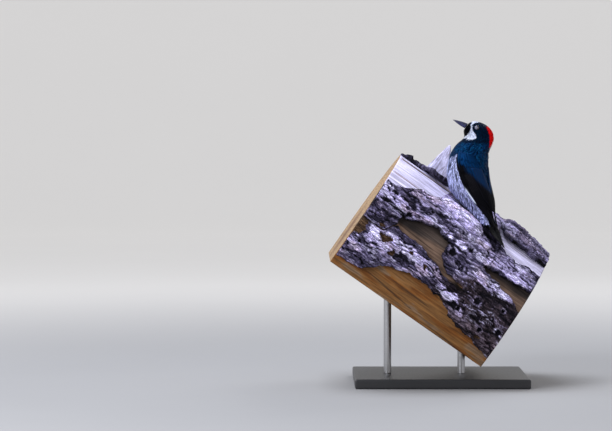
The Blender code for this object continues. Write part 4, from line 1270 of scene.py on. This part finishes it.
# %% One patch of small feathers
def lay_small(name, w_from, w_to, gap, length, growth, keep, seed, rows, extra=0.0):
    """Sows and lays one patch of small contour feathers. They are length millimetres long at the bill,
    and longer by growth with each station. Their edges are notched like loose barbs. extra raises the
    patch, in millimetres."""
    root_w, root_a = sown(w_from, w_to, gap, keep, seed)
    chance = np.random.default_rng(seed + 1)
    count = len(root_w)
    size = (length + growth * root_w) * (0.85 + 0.3 * chance.random(count))
    swing = 0.16 * chance.standard_normal(count)
    path_w, path_a = paths(root_w, root_a, size, swing, rows)
    t = np.linspace(0, 1, rows)
    outline = np.sin(np.pi * (0.12 + 0.86 * t) ** 0.8) ** 0.7
    notch = 1 + 0.22 * (np.arange(rows) % 2) * chance.random((count, rows))
    half_width = size[:, None] * 0.27 * outline * notch
    depth = coat_depth(root_w)[:, None]
    height = -depth + 0.10 + (depth - 0.22) * t**0.8 + 0.08 * chance.random((count, 1))
    height = height + (proud(root_w, root_a) + extra)[:, None] * (0.45 + 0.55 * t)
    feather_piece(
        name,
        body,
        path_w,
        path_a,
        half_width,
        height,
        0.16 * (1.15 - t) + 0.03 + 0 * path_w,
        small_painter(count, seed + 2),
        "feathers_blue_black" if "mantle" in name else "feathers_white",
        columns=3,
        camber=0.10,
    )


# %% Clear places for the eyes and wings
def clear_of_eyes(where, around):
    """True away from the two eyes' bare rings."""
    place = body(where, around)
    nearest = np.full(where.shape, 9.0)
    for sign in (1, -1):
        ball = BIRD_PLACE + turned(EYE_IN_BIRD[0], sign * 13.6, EYE_IN_BIRD[2], HEAD_YAW)
        nearest = np.minimum(nearest, np.linalg.norm(place - ball, axis=-1) / MM)
    return nearest > 3.5


# %% Where the folded wing lies
# A station, and the degrees round of the wing's lower and upper edges there.
WING_EDGES = np.array(
    (
        ((8.2, 76, 126), (9.0, 80, 140), (10.0, 88, 152), (11.0, 96, 162), (12.0, 101, 170)),
        ((13.0, 106, 175), (14.5, 114, 177.5), (16.0, 119, 178), (17.0, 121, 178), (17.8, 130, 178)),
    )
).reshape(-1, 3)


def wing_edges(where):
    """Degrees round of the wing's lower and upper edges, at any station."""
    return [np.interp(where, WING_EDGES[:, 0], WING_EDGES[:, k]) for k in (1, 2)]


def off_wing(where, around):
    """True where the folded wing doesn't cover the body, with some overlap."""
    angle = side_angle(around)
    low, high = wing_edges(where)
    return ~((where > 9.2) & (where < 17.2) & (angle > low + 12) & (angle < high - 8))


def on_mantle(where, around):
    """True over the shoulder blades, where the mantle's feathers lie over the wings' upper edges."""
    angle = side_angle(around)
    return angle > np.interp(where, (8.2, 9, 10, 11, 12, 12.6), (108, 118, 131, 141, 151, 164))


# %% Head, neck and body feathers
lay_small("feathers_head", 0.1, 5.8, 1.35, 2.6, 0.35, clear_of_eyes, seed=11, rows=5)
lay_small("feathers_neck", 5.6, 8.8, 2.0, 1.5, 0.7, off_wing, seed=21, rows=6)
lay_small("feathers_body", 8.6, 13.6, 2.7, 8.5, 0, off_wing, seed=31, rows=7)
lay_small("feathers_vent", 13.4, 16.4, 2.7, 9.5, 0, off_wing, seed=41, rows=7)
lay_small("feathers_mantle", 8.2, 12.3, 2.6, 8.5, 0, on_mantle, seed=61, rows=7, extra=1.3)

# %% [markdown]
# ## Folded wings
#
# A folded wing is a closed fan. The long primaries run along its lower edge to the wing's tip.
# Secondaries and tertials lie over them towards the back, and shorter coverts roof their roots. One
# carved slab would show no feather edges from the side, so each feather is a vane again, in layers.


# %% Places on a wing
def wing_angle(where, share):
    """The angle round the body for a share of the way from the wing's lower edge to its upper one."""
    low, high = wing_edges(where)
    return np.radians(low + (high - low) * share)


def wing_colour(where, around):
    """Blue over the shoulder, black on the flight feathers, and the white patch at their base."""
    angle = np.degrees(np.abs(around))
    border = np.interp(angle, (80, 86, 111, 133, 150, 166, 178), (9.3, 9.9, 10.7, 11.4, 12.2, 12.8, 13.2))
    blue = step(border + 0.35, border - 0.35, where)
    colour = mix(BLACK, BLUE, blue)
    low, _ = wing_edges(where)
    patch = step(12.6, 13.0, where) * step(14.6, 14.2, where) * step(low + 2.6, low + 1.2, angle)
    colour = mix(colour, WHITE, patch)
    return colour, (0.35 + 0.65 * blue) * (1 - patch)


def wing_rows():
    """One wing's long vanes, the lowest layer first, as six columns: from station, from share, to
    station, to share, half width and layer."""
    rows = []
    for i in range(9):  # primaries, the outermost shortest
        rows.append((10.6, 0.06 + 0.030 * i, 14.9 + 0.345 * i, 0.075 + 0.085 * i, 3.3, 0.15 + 0.10 * i))
    for i in range(9):  # secondaries
        rows.append((10.2, 0.22 + 0.055 * i, 14.6 + 0.12 * i, 0.26 + 0.075 * i, 3.6, 1.0 + 0.06 * i))
    for i in range(4):  # tertials
        rows.append((10.6, 0.66 + 0.09 * i, 14.3 + 0.35 * i, 0.72 + 0.075 * i, 4.6, 2.3 + 0.12 * i))
    return np.array(rows).T[:, :, None]


def wing_rise(where, around):
    """Millimetres by which the folded wings' inner edges stand off the lower back."""
    return 2.4 * step(110, 172, np.degrees(np.abs(around))) * step(11.2, 14.5, where)


# %% Flight feathers
def paint_flight(point_w, point_a, across, along):
    """The wing's colours, with a dark shaft and a thin dark rim."""
    colour, gloss = wing_colour(point_w, point_a)
    colour = mix(colour, (0.018, 0.016, 0.020), 0.6 * np.exp(-((across / 0.10) ** 2)))
    colour = mix(colour, (0.014, 0.013, 0.020), 0.55 * step(0.75, 1.0, np.abs(across)) * (gloss > 0.2))
    return colour, gloss


def make_flight_feathers(side, sign):
    """Primaries, secondaries and tertials. A vane keeps its width and rounds off at the tip."""
    from_w, from_share, to_w, to_share, wide, layer = wing_rows()
    t = np.linspace(0, 1, 22)
    path_w = from_w + (to_w - from_w) * t
    path_a = sign * wing_angle(path_w, from_share + (to_share - from_share) * t**1.3)
    outline = (1 - t**9) ** 0.5 * (0.55 + 0.45 * np.sin(np.pi * np.minimum(t + 0.15, 0.5)))
    number = np.arange(len(path_w))
    feather_piece(
        f"wing_{side}_flight_feathers",
        body,
        path_w,
        path_a,
        wide * np.maximum(outline, 0.03),
        0.3 + layer + 0.25 * t + wing_rise(path_w, path_a),
        np.full(path_w.shape, 0.32),
        paint_flight,
        "feathers_black",
        columns=7,
        camber=0.35,
        root_map=np.stack([0.05 + 0.02 * number, 0.5 + 0 * number], axis=-1),
        replaces=(f"wing_{side}",),
    )


# %% Coverts
# Each row's first station, shares from and to, count, length in stations, half width and layer.
COVERT_ROWS = (
    (10.0, 0.06, 0.95, 15, 2.5, 2.6, 1.75),
    (9.3, 0.05, 0.95, 17, 1.9, 2.3, 2.05),
    (8.75, 0.08, 0.93, 17, 1.55, 2.0, 2.3),
    (8.35, 0.15, 0.9, 15, 1.3, 1.8, 2.45),
)


def make_coverts(side, sign):
    """Four rows of short feathers over the roots of the long ones, each row over the last."""
    chance = np.random.default_rng(51 + sign)
    rows = []
    for start, low, high, count, reach, wide, layer in COVERT_ROWS:
        place = np.linspace(low, high, count) + 0.012 * chance.standard_normal(count)
        root = start + 0.25 * chance.random(count) + 0.35 * place
        end = root + reach * (0.9 + 0.2 * chance.random(count))
        rows.append((root, end, place, wide * (0.9 + 0.2 * chance.random(count)), np.full(count, layer)))
    root, end, place, wide, layer = np.concatenate(rows, axis=1)[:, :, None]
    t = np.linspace(0, 1, 9)
    path_w = root + (end - root) * t
    path_a = sign * wing_angle(path_w, np.clip(place + 0.02 * t, 0, 1))

    def paint(point_w, point_a, _, along):
        """The wing's colours near each feather's tip, lighter towards the tip."""
        middle = 0.3 * point_w[:, :1, :1] + 0.7 * point_w[:, -1:, :1] + 0 * point_w
        colour, gloss = wing_colour(middle, point_a[:, :, :1].mean(axis=1, keepdims=True) + 0 * middle)
        light = (0.75 + 0.5 * chance.random(len(root)))[:, None, None, None]
        return colour * light * (0.72 + 0.38 * along)[..., None], np.maximum(gloss, 0.5)

    feather_piece(
        f"wing_{side}_coverts",
        body,
        path_w,
        path_a,
        wide * np.sin(np.pi * (0.15 + 0.83 * t) ** 0.75) ** 0.6,
        0.2 + (layer - 0.2) * (0.45 + 0.55 * t**0.6) + wing_rise(path_w, path_a),
        np.full(path_w.shape, 0.25),
        paint,
        "feathers_blue_black",
        columns=5,
        camber=0.25,
    )


for side, sign in (("left", 1), ("right", -1)):
    make_flight_feathers(side, sign)
    make_coverts(side, sign)

# %% [markdown]
# ## Tail
#
# A woodpecker props itself on its tail, so the ten big feathers are stiff and pointed. The middle pair
# is longest and lies on top. On the body's rounded end they would splay, so they share one curved
# sheet of their own, which runs just under the tail's upper side.


# %% The tail's sheet
def tail_sheet(where, lateral):
    """A point of the sheet: a station and a share of the half width, from -1, right, to 1, left."""
    where, lateral = np.broadcast_arrays(np.asarray(where, float), np.asarray(lateral, float))
    low_f, low_z, back_f, back_z, wide, _ = np.moveaxis(stations_at(where), -1, 0)
    share = 0.42 + 0.40 * np.sqrt(np.clip(1 - 0.8 * lateral**2, 0, 1))
    forward = low_f + (back_f - low_f) * share
    up = low_z + (back_z - low_z) * share
    return BIRD_PLACE + turned(forward, wide * lateral, up, BODY_YAW)


# %% Tail feathers
# Each pair's tip: its station, and millimetres from the tail's middle. The middle pair comes first.
TAIL_TIPS = ((19.93, 0.9), (19.52, 3.6), (19.12, 6.6), (18.74, 9.4), (18.36, 12.0))
TAIL_ROOT = 16.2


def paint_tail(point_w, point_a, across, along):
    """Black, with a brown shaft that fades towards the tip, and a worn brown tip."""
    shaft = np.exp(-((across / 0.12) ** 2)) * (1 - 0.6 * along)
    colour = mix(np.broadcast_to(BLACK, across.shape + (3,)), (0.035, 0.03, 0.028), shaft)
    colour = mix(colour, (0.05, 0.04, 0.03), step(0.93, 1.0, along) * 0.6)
    return colour, np.full(across.shape, 0.55)


def make_tail():
    """Five pairs of feathers, the outermost lowest. Each runs from the tail's root to its own tip."""
    t = np.linspace(0, 1, 26)
    path_w, path_l, layer = [], [], []
    for pair in range(4, -1, -1):
        end_w, end_mm = TAIL_TIPS[pair]
        start_mm = 0.8 + 1.5 * pair
        station = TAIL_ROOT + (end_w - TAIL_ROOT) * t
        lateral = (start_mm + (end_mm - start_mm) * t) / stations_at(station)[:, 4]
        for sign in (1, -1):
            path_w.append(station)
            path_l.append(-sign * lateral)
            layer.append(0.30 * (4 - pair) - 0.6)
    path_w, path_l, layer = np.array(path_w), np.array(path_l), np.array(layer)[:, None]
    number = np.arange(len(path_w))
    feather_piece(
        "tail_feathers",
        tail_sheet,
        path_w,
        path_l,
        3.5 * np.sqrt(np.clip(1 - t**3.2, 0, 1)) * (0.7 + 0.3 * np.sin(np.pi * t)) + 0.25 + 0 * path_w,
        layer + 0.15 * t,
        np.full(path_w.shape, 0.42),
        paint_tail,
        "feathers_black",
        columns=7,
        camber=0.30,
        root_map=np.stack([0.2 + 0.05 * number, 0.9 + 0 * number], axis=-1),
        replaces=("tail",),
    )


make_tail()

# %% [markdown]
# ## Bill
#
# The bill is a chisel: straight, with a ridge along the top and a flat wedge at the tip. A cone would
# have neither ridge nor mouth line, so each half is a tube of half-oval rings, flat towards the other.
# Horn is smooth and a little glossy, with a painted highlight along the cutting edge, and has a nostril
# near the face.


# %% Horn
def horn_finish():
    """Smooth dark horn with faint lengthwise scratches."""
    finish = Finish("bill_and_claw_horn", Specular_IOR_Level=0.22)
    scratches = finish.noise(finish.place(scale=(300, 1500, 900)), 1.0, 3)
    tint = finish.blend(scratches, (0.70, 0.76, 1.0), (1.0, 1.06, 1.4))
    return finish.feed(
        Base_Color=finish.times(finish.colour_of("hue"), tint),
        Roughness=0.42 + scratches * 0.22,
        Normal=finish.bump(scratches, 0.25, 0.0002),
    )


horn = horn_finish()
BILL_TIP = np.array((37.8, 197.6))  # forward and up, in millimetres
BILL_TILT = math.radians(25)
# Each half's two colours, growing towards the worn one.
BILL_COLOURS = {
    "bill_upper": ((0.005, 0.005, 0.015), (0.014, 0.014, 0.036)),
    "bill_lower": ((0.011, 0.011, 0.030), (0.030, 0.030, 0.075)),
}


# %% Bill
def bill_profile(name, t):
    """Forward and up of one half's mouth line and of its ridge, at shares t from the face to the tip.
    Both run straight from the face to the tip and bow out a little as a sine."""
    low, back = np.array(STATIONS[0][1]), np.array(STATIONS[0][2])
    ahead = np.array([math.cos(BILL_TILT), math.sin(BILL_TILT)]) * 0.35
    up = np.array([0, 1.0])
    bow = np.sin(np.pi * t**0.8) * up
    top = back * (1 - t) + BILL_TIP * t + ahead + 0.75 * bow + 0.25 * t * up
    bottom = low * (1 - t) + BILL_TIP * t + ahead - 0.95 * bow - 0.3 * t * up
    mouth = bottom + (top - bottom) * 0.42
    gap = unit(top - bottom) * 0.16
    return (mouth + gap, top) if name == "bill_upper" else (mouth - gap, bottom)


def make_bill(name):
    """Rings along a straight axis: a floor along the mouth's line and a rounded roof with a ridge."""
    rows, columns = 40, 28
    t = np.linspace(0, 1, rows)[:, None]
    angle = np.linspace(0, 2 * np.pi, columns, endpoint=False)[None, :]
    rim, crest = bill_profile(name, t)
    roof = np.clip(np.sin(angle), 0, 1)
    ridge = roof**0.85 + 0.10 * np.exp(-(((angle - np.pi / 2) / 0.22) ** 2)) * roof * (1 - t)
    share = np.clip(ridge - 0.04 * np.clip(-np.sin(angle), 0, 1), -0.04, 1.03)
    nostril = np.exp(-(((t - 0.16) / 0.05) ** 2) - ((np.abs(np.sin(angle)) - 0.55) / 0.2) ** 2)
    nostril = nostril * (np.sin(angle) > 0) * (name == "bill_upper")
    forward, up = (rim[:, k : k + 1] + (crest - rim)[:, k : k + 1] * share for k in (0, 1))
    left = (4.0 * (1 - t) ** 0.85 + 0.42) * np.cos(angle) * (1 - 0.12 * nostril)
    growth = 0.5 + 0.5 * noise(t * 14, angle * 2, 91)
    colour = mix(*BILL_COLOURS[name], np.clip(growth * 0.8 + 0.2 * t, 0, 1))
    # Painted highlight: a pale bluish band along the cutting edge.
    pale = np.exp(-((np.sin(angle) / 0.35) ** 2)) * (0.75 - 0.45 * t)
    colour = mix(colour, (0.10, 0.10, 0.19), pale * 0.5)
    colour = mix(colour, (0.004, 0.004, 0.005), np.clip(nostril * 1.5, 0, 1))
    piece(
        name + "_horn",
        BIRD_PLACE + turned(forward, left, up, HEAD_YAW),
        tube_faces(rows, columns),
        horn,
        replaces=(name,),
        colours={"hue": colour},
        maps={"OFBake": unwrap(angle / (2 * np.pi), t)},
    )


for name in BILL_COLOURS:
    make_bill(name)

# %% [markdown]
# ## Eyes
#
# A whitish iris round a dark pupil gives this bird its look. An image on a ready-made sphere would
# have to be aimed. A sphere of rings round the line of sight needs none, because pupil, iris and rim
# are steps of the angle from that line. A bare dark lid, a beaded ring, holds each ball.


# %% Eyes and lids
def eye_finish():
    """A wet, clear coat over the colours."""
    finish = Finish("eye_gloss", Roughness=0.12, Coat_Weight=1.0, Coat_Roughness=0.03)
    return finish.feed(Base_Color=finish.colour_of("hue"))


def lid_finish():
    """Dull, nearly black skin with a fine grain."""
    finish = Finish("lid_skin", Specular_IOR_Level=0.12)
    fine = finish.noise(finish.place(), 2600, 3)
    return finish.feed(
        Base_Color=finish.blend(fine, (0.003, 0.003, 0.005), (0.011, 0.011, 0.014)),
        Roughness=0.65 + fine * 0.2,
        Normal=finish.bump(fine, 0.4, 0.0002),
    )


eye_gloss, lid_skin = eye_finish(), lid_finish()


def direction(forward, left, up, yaw):
    """A direction in the bird, turned by its heading."""
    return unit(turned(forward, left, up, yaw) - turned(0.0, 0.0, 0.0, yaw))


# %% Eye balls
def rings_round(sight, tilt, spin):
    """Directions at an angle tilt from the line of sight, spun round it."""
    first = unit(np.cross(sight, [0, 0, 1.0]))
    second = np.cross(sight, first)
    around = np.cos(spin)[..., None] * first + np.sin(spin)[..., None] * second
    return np.cos(tilt)[..., None] * sight + np.sin(tilt)[..., None] * around


def make_eye_ball(side, centre, radius, sight):
    """A sphere whose poles lie on the line of sight, with a bulge in front as the cornea."""
    rows, columns = 60, 48
    tilt = np.linspace(0.01, np.pi - 0.01, rows)[:, None]
    spin = np.linspace(0, 2 * np.pi, columns, endpoint=False)[None, :]
    bulge = 1 + 0.035 * np.exp(-((tilt / 0.45) ** 2))
    degrees = np.degrees(tilt) + 0 * spin
    iris = np.array([0.34, 0.32, 0.46]) * (0.82 + 0.25 * noise(spin * 9, tilt * 6, 95))[..., None]
    colour = mix((0.004, 0.004, 0.005), iris, step(16.0, 18.5, degrees))
    colour = mix(colour, (0.02, 0.018, 0.02), step(33, 37, degrees))
    piece(
        f"eye_{side}_ball",
        centre + radius * 0.985 * bulge[..., None] * rings_round(sight, tilt, spin),
        tube_faces(rows, columns),
        eye_gloss,
        replaces=(f"eye_{side}",),
        colours={"hue": colour},
    )


# %% Lids
LID_LEAN = math.radians(37)  # from the line of sight to the lid


def make_lid(side, centre, radius, sight):
    """A ring round the iris, whose flattened tube swells into 24 beads."""
    rows, columns = 72, 12
    ring = np.linspace(0, 2 * np.pi, rows, endpoint=False)[:, None]
    tube = np.linspace(0, 2 * np.pi, columns, endpoint=False)[None, :, None]
    normal = rings_round(sight, np.full_like(ring, LID_LEAN), ring)
    flat = rings_round(sight, np.full_like(ring, LID_LEAN + np.pi / 2), ring)
    bead = 0.42 + 0.06 * np.sin(ring[..., None] * 24)
    lid = centre + radius * normal + MM * bead * (np.cos(tube) * normal * 0.7 + np.sin(tube) * flat)
    faces = quads(rows + 1, columns, wrap=True) % (rows * columns)
    piece(f"eye_{side}_lid", lid, [faces], lid_skin)


for side, sign in (("left", 1), ("right", -1)):
    low, high = (np.array(corner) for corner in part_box(f"eye_{side}"))
    outwards, ahead = direction(0.0, sign * 1.0, 0.0, HEAD_YAW), direction(1.0, 0.0, 0.0, HEAD_YAW)
    eye = ((low + high) / 2, (high - low)[0] / 2, unit(outwards + 0.22 * ahead + np.array([0, 0, 0.04])))
    make_eye_ball(side, *eye)
    make_lid(side, *eye)

# %% [markdown]
# ## Legs and claws
#
# The grey toes have a ring for each scale on top and soft pads below. A woodpecker's outer toe can turn
# either way. It swings forward in a climb, so three toes reach up the trunk and a short one props behind.
# Straight cylinders would leave the round trunk, so each limb is a tube along a path that lies on the
# bark, and the claws hook over and dig in. The places repeat the solid model's.


# %% Places on the bark
TOE_UP = unit(OUT * math.cos(0.45) + NEAR * math.sin(0.45))


def from_axis(point):
    """From the trunk's axis square to it, to one point or many."""
    offset = point - AXIS_POINT
    return offset - (offset @ ALONG)[..., None] * ALONG


def on_bark(point, height):
    """The points moved square to the trunk's axis until they stand these millimetres over the bark."""
    radial = from_axis(point)
    reach = (TRUNK_RADIUS + np.asarray(height, float)[..., None]) * MM
    return point + radial * (reach / np.linalg.norm(radial, axis=-1, keepdims=True) - 1)


def bark_directions(point, sign):
    """Uphill in the bird's own plane, and outwards from the bird, both lying on the bark."""
    normal = unit(from_axis(point))
    ahead, left = direction(1.0, 0.0, 0.0, BODY_YAW), direction(0.0, sign * 1.0, 0.0, BODY_YAW)
    return unit(ahead - normal * (ahead @ normal)), unit(left - normal * (left @ normal))


# %% Scaly skin
def leg_finish():
    """Scales are cells of noise, dull grey with pale edges."""
    finish = Finish("leg_scales_skin", Specular_IOR_Level=0.35)
    cell = finish.node("ShaderNodeTexVoronoi", {"Vector": finish.place(), "Scale": 1500}, out="Distance")
    tint = finish.blend(cell.clamp(0.2, 0.7), (1.15, 1.15, 1.1), (0.6, 0.6, 0.6))
    return finish.feed(
        Base_Color=finish.times(finish.colour_of("hue"), tint),
        Roughness=0.5 + cell * 0.2,
        Normal=finish.bump(1 - cell, 0.5, 0.0003),
    )


leg_skin = leg_finish()
SCALE_GREY, CLAW_GREY = (0.15, 0.15, 0.15), (0.05, 0.048, 0.055)


# %% One limb piece
def limb_piece(name, path, radius, scales, columns=14):
    """A tube for one node of the leg: at each place of the path a circle square to it, with round ends.
    With scales it has that many rings and is skin; with none it is a horn claw."""
    rows = len(path)
    t = np.linspace(0, 1, rows)[:, None]
    spin = np.linspace(0, 2 * np.pi, columns, endpoint=False)[None, :]
    wave = np.abs(np.sin(np.pi * scales * t)) ** 0.5
    ripple = 1 + (0.10 * wave - 0.07) * np.clip(np.cos(spin) + 0.4, 0, 1) if scales else np.ones((1, 1))
    reach = radius[:, None] * ripple * np.sqrt(np.clip(1 - np.abs(2 * t - 1) ** 14, 0.02, 1))
    ahead = unit(np.gradient(path, axis=0))
    upward = unit(np.cross(ahead, np.cross(TOE_UP, ahead)))
    across = np.cross(upward, ahead)
    circle = np.cos(spin)[..., None] * upward[:, None] + np.sin(spin)[..., None] * across[:, None]
    shade = 0.78 + 0.3 * wave if scales else np.ones_like(t)
    tone = np.array(SCALE_GREY if scales else CLAW_GREY) * (shade + 0 * spin)[..., None]
    piece(
        name + ("_skin" if scales else "_horn"),
        path[:, None] + reach[..., None] * circle,
        tube_faces(rows, columns),
        leg_skin if scales else horn,
        replaces=(name,),
        colours={"hue": tone},
        maps={"OFBake": unwrap(spin / (2 * np.pi), t)},
    )


# %% Legs and feet
TARSUS_RADIUS, PAD_RADIUS, PAD_HEIGHT = 1.35, 3.1, 1.4


def make_tarsus(side, heel, ball):
    """The lower leg, thinnest halfway from the heel to the ball of the foot."""
    run = unit(ball - heel)
    start, end = heel + run * 0.5 * MM, ball - run * (PAD_RADIUS - 1.2) * MM
    t = np.linspace(0, 1, 40)
    radius = TARSUS_RADIUS * MM * (1.08 - 0.5 * t * (1 - t))
    limb_piece(f"leg_{side}_tarsus", start + (end - start) * t[:, None], radius, 11)


def make_foot(side, sign, ball, uphill, outward):
    """The pad under the toes' roots: a flattened ball with four soft lobes."""
    up = np.cross(uphill, outward) * sign
    tilt = np.linspace(0.05, np.pi - 0.05, 16)[:, None, None]
    spin = np.linspace(0, 2 * np.pi, 20, endpoint=False)[None, :, None]
    lobes = 1 + 0.10 * np.sin(spin * 4) * np.sin(tilt)
    wide = lobes * np.sin(tilt) * (np.cos(spin) * uphill + np.sin(spin) * outward * sign)
    pad = ball + MM * (PAD_HEIGHT * np.cos(tilt) * up + PAD_RADIUS * wide)
    piece(
        f"leg_{side}_foot_skin",
        pad,
        tube_faces(*pad.shape[:2]),
        leg_skin,
        replaces=(f"leg_{side}_foot",),
        colours={"hue": SCALE_GREY},
    )


# %% Toes and claws
TOE_RADIUS, CLAW_LENGTH = 1.15, 6.0
TOES = (("inner", -26, 9.5), ("middle", 10, 13.5), ("outer", 44, 9.5), ("hind", 222, 4.5))  # degrees, mm


def make_toe(name, ball, way, length):
    """A toe along the bark, with two knuckles if it is long, and its claw, which rises and comes down
    as a sine over the last millimetres."""
    toe_height, claw_height = TOE_RADIUS + 0.35, 0.65
    reach = np.linspace(PAD_RADIUS - 1.0, PAD_RADIUS + 1.1 + length, 44)[:, None]
    path = on_bark(ball + way * reach * MM, toe_height)
    knuckle = 1 + 0.10 * np.cos(np.linspace(0, 1, 44) * np.pi * 4) * (length > 6)
    limb_piece(name, path, TOE_RADIUS * MM * np.linspace(1.0, 0.8, 44) * knuckle, int(length * 1.1))
    t = np.linspace(0, 1, 24)
    out = 0.1 + CLAW_LENGTH * 0.86 * np.sin(t * np.pi / 2)
    rise = toe_height * (1 - t) + claw_height * t + 1.3 * np.sin(t * np.pi) * (1 - 0.3 * t)
    hook = on_bark(path[-1] + way * out[:, None] * MM, rise)
    limb_piece(name.replace("toe", "claw"), hook, TOE_RADIUS * MM * (0.78 - 0.66 * t), 0, columns=12)


for side, sign in (("left", 1), ("right", -1)):
    heel = on_bark(BIRD_PLACE + turned(2.0, sign * 13.0, 57.0, BODY_YAW), 2.5)
    ball = on_bark(BIRD_PLACE + turned(18.5, sign * 13.0, 70.0, BODY_YAW), PAD_HEIGHT + 0.7)
    uphill, outward = bark_directions(ball, sign)
    make_tarsus(side, heel, ball)
    make_foot(side, sign, ball, uphill, outward)
    for toe, turn, length in TOES:
        way = uphill * math.cos(math.radians(turn)) + outward * math.sin(math.radians(turn))
        make_toe(f"leg_{side}_toe_{toe}", ball, way, length)

# %% [markdown]
# ## The lump and the splinter
#
# A thick flake of bark lies over the plate in front of the bird's belly. It could be one more plate,
# but it is as thick as a finger and round on top, so its grid rises as a dome over the one below.
# Beyond the top line a fin of pale wood stands up where a limb tore off. It grew crosswise to the
# trunk's grain, so it is built upwards, from rings that shrink to a torn tip.

# %% Bark lump
# Places along, degrees round of its middle, half width in degrees and height in millimetres.
LUMP = np.array(
    (
        ((-52, 34.8, 1.6, 3.0), (-42, 35.4, 2.6, 7.0), (-32, 36.4, 3.4, 9.0), (-22, 37.6, 4.0, 10.5)),
        ((-8, 39.0, 4.6, 11.5), (8, 39.8, 4.6, 11.0), (19, 40.4, 4.0, 8.5), (27, 41.2, 2.2, 3.5)),
    )
).reshape(-1, 4)
LUMP_FROM, LUMP_TO = -53, 27.5


def make_lump():
    """A strip along the trunk with a rounded, flaky back, closed underneath."""
    rows, columns = 110, 40
    along = np.linspace(LUMP_FROM, LUMP_TO, rows)[:, None]
    side = np.linspace(-1, 1, columns)[None, :]
    middle, half, crest = (np.interp(along, LUMP[:, 0], LUMP[:, k]) for k in (1, 2, 3))
    torn = 0.6 * (clouds(along / 7, 0 * along, 101) - 0.5)
    turn = np.radians(middle + half * side * 1.06 + torn)
    along = along + 0 * side
    _, height, fibre, _ = bark_relief(along * 1.6 + 200, turn * 1.3, 7)
    height = np.maximum(height, 0)
    ends = step(0, 5, along - LUMP_FROM) * step(0, 4, LUMP_TO - along)
    dome = np.sqrt(np.clip(1 - np.abs(side) ** 2.4, 0, 1)) * ends
    ridges = clouds(along / 16 + side, side * 3.2 + along / 30, 103, 3) - 0.5
    outer = TRUNK_RADIUS + 0.2 + (0.2 + crest + 3.2 * ridges) * dome
    outer = outer - 3.0 * (1 - height) * np.minimum(dome * 1.5, 1)
    inner = np.full_like(outer, TRUNK_RADIUS - 2.2)
    outer = np.maximum(outer, inner + 0.6)
    pale = np.maximum(flaked(along, turn, 7), 0.8 * step(0.40, 0.55, clouds(along / 12, side, 104)))
    stain_and_shade = bark_colour(along, turn, height * 0.6 + 0.34, fibre, pale, 7)
    piece(
        "bark_lump",
        np.stack([on_trunk(along, turn, outer), on_trunk(along, turn, inner)]),
        shell_faces(rows, columns),
        flaky_bark,
        replaces=("perch_bark_lump",),
        colours={"stain_and_shade": np.stack([stain_and_shade, stain_and_shade])},
    )


make_lump()

# %% Splinter
SPLINTER_TURN, SPLINTER_HEIGHT = math.radians(-7), 60
FIN_DULL, FIN_PALE, FIN_DARK = (0.40, 0.39, 0.58), (0.70, 0.69, 0.98), (0.30, 0.27, 0.36)


def make_splinter():
    """Rings that shrink and lean uphill on their way to a torn tip, ribbed along the grain."""
    rows, columns = 70, 64
    t = np.linspace(0, 1, rows)[:, None]
    angle = np.linspace(0, 2 * np.pi, columns, endpoint=False)[None, :]
    rib = 1 + 0.14 * (noise(angle * 5, t * 1.4, 111) - 0.5) + 0.05 * (noise(angle * 16, t * 2, 112) - 0.5)
    along = -70 - 14 * t + (25 * (1 - t) ** 0.85 + 0.6) * np.cos(angle) * rib
    sideways = (3.4 * (1 - t) + 0.6) * np.sin(angle) * rib
    torn = 3.5 * (noise(angle * 4, 0 * t, 113) - 0.6) * step(0.5, 1.0, t)
    radius = WOOD_RADIUS - 0.5 + SPLINTER_HEIGHT * t + torn * (1 - np.abs(2 * t - 1) ** 6)
    streak = clouds(np.cos(angle) * 9, t * 1.6, 115, 3)
    stain_and_shade = mix(FIN_DULL, FIN_PALE, step(0.25, 0.75, streak))
    stain_and_shade = mix(stain_and_shade, FIN_DARK, 0.7 * step(0.66, 0.8, clouds(np.cos(angle) * 7, t * 1.2, 117, 2)))
    piece(
        "splinter",
        on_trunk(along, SPLINTER_TURN + sideways / WOOD_RADIUS, radius),
        tube_faces(rows, columns),
        torn_wood,
        replaces=("perch_splinter",),
        colours={"stain_and_shade": stain_and_shade},
        numbers={"sawn": 0.0},
        maps={"OFBake": unwrap(angle / (2 * np.pi), t)},
    )


make_splinter()

# %% [markdown]
# ## The stand
#
# A display stand should not be looked at, so it is a flat painted base and two plain rods. Boxes and
# cylinders are their real shapes, so the solids stay as they are and only get their finishes.


# %% Paint of the base
def base_paint():
    """Satin black with a faint orange peel and a trace of brush marks."""
    finish = Finish("satin_black_paint", Specular_IOR_Level=0.45)
    orange_peel = finish.noise(finish.place(), 260, 3)
    marks = finish.noise(finish.place(scale=(6, 260, 60)), 1.0, 2)
    return finish.feed(
        Base_Color=finish.blend(marks, (0.016, 0.016, 0.018), (0.026, 0.026, 0.028)),
        Roughness=0.34 + orange_peel * 0.14,
        Normal=finish.bump(orange_peel * 0.5 + marks * 0.5, 0.12, 0.0004),
    )


# %% Steel of the rods
def rod_steel():
    """Steel brushed round the rod: noise stretched sideways."""
    finish = Finish("brushed_steel_rod", Metallic=1.0)
    brushed = finish.noise(finish.place(scale=(60, 60, 2400)), 1.0, 3)
    return finish.feed(
        Base_Color=finish.blend(brushed, (0.38, 0.38, 0.39), (0.56, 0.56, 0.57)),
        Roughness=0.24 + brushed * 0.18,
        Normal=finish.bump(brushed, 0.15, 0.0002),
    )


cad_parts["stand_base"].material_slots[0].material = base_paint()
steel = rod_steel()
for name in ("stand_rod_1", "stand_rod_2"):
    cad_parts[name].material_slots[0].material = steel
print("stand: base painted, rods of steel")
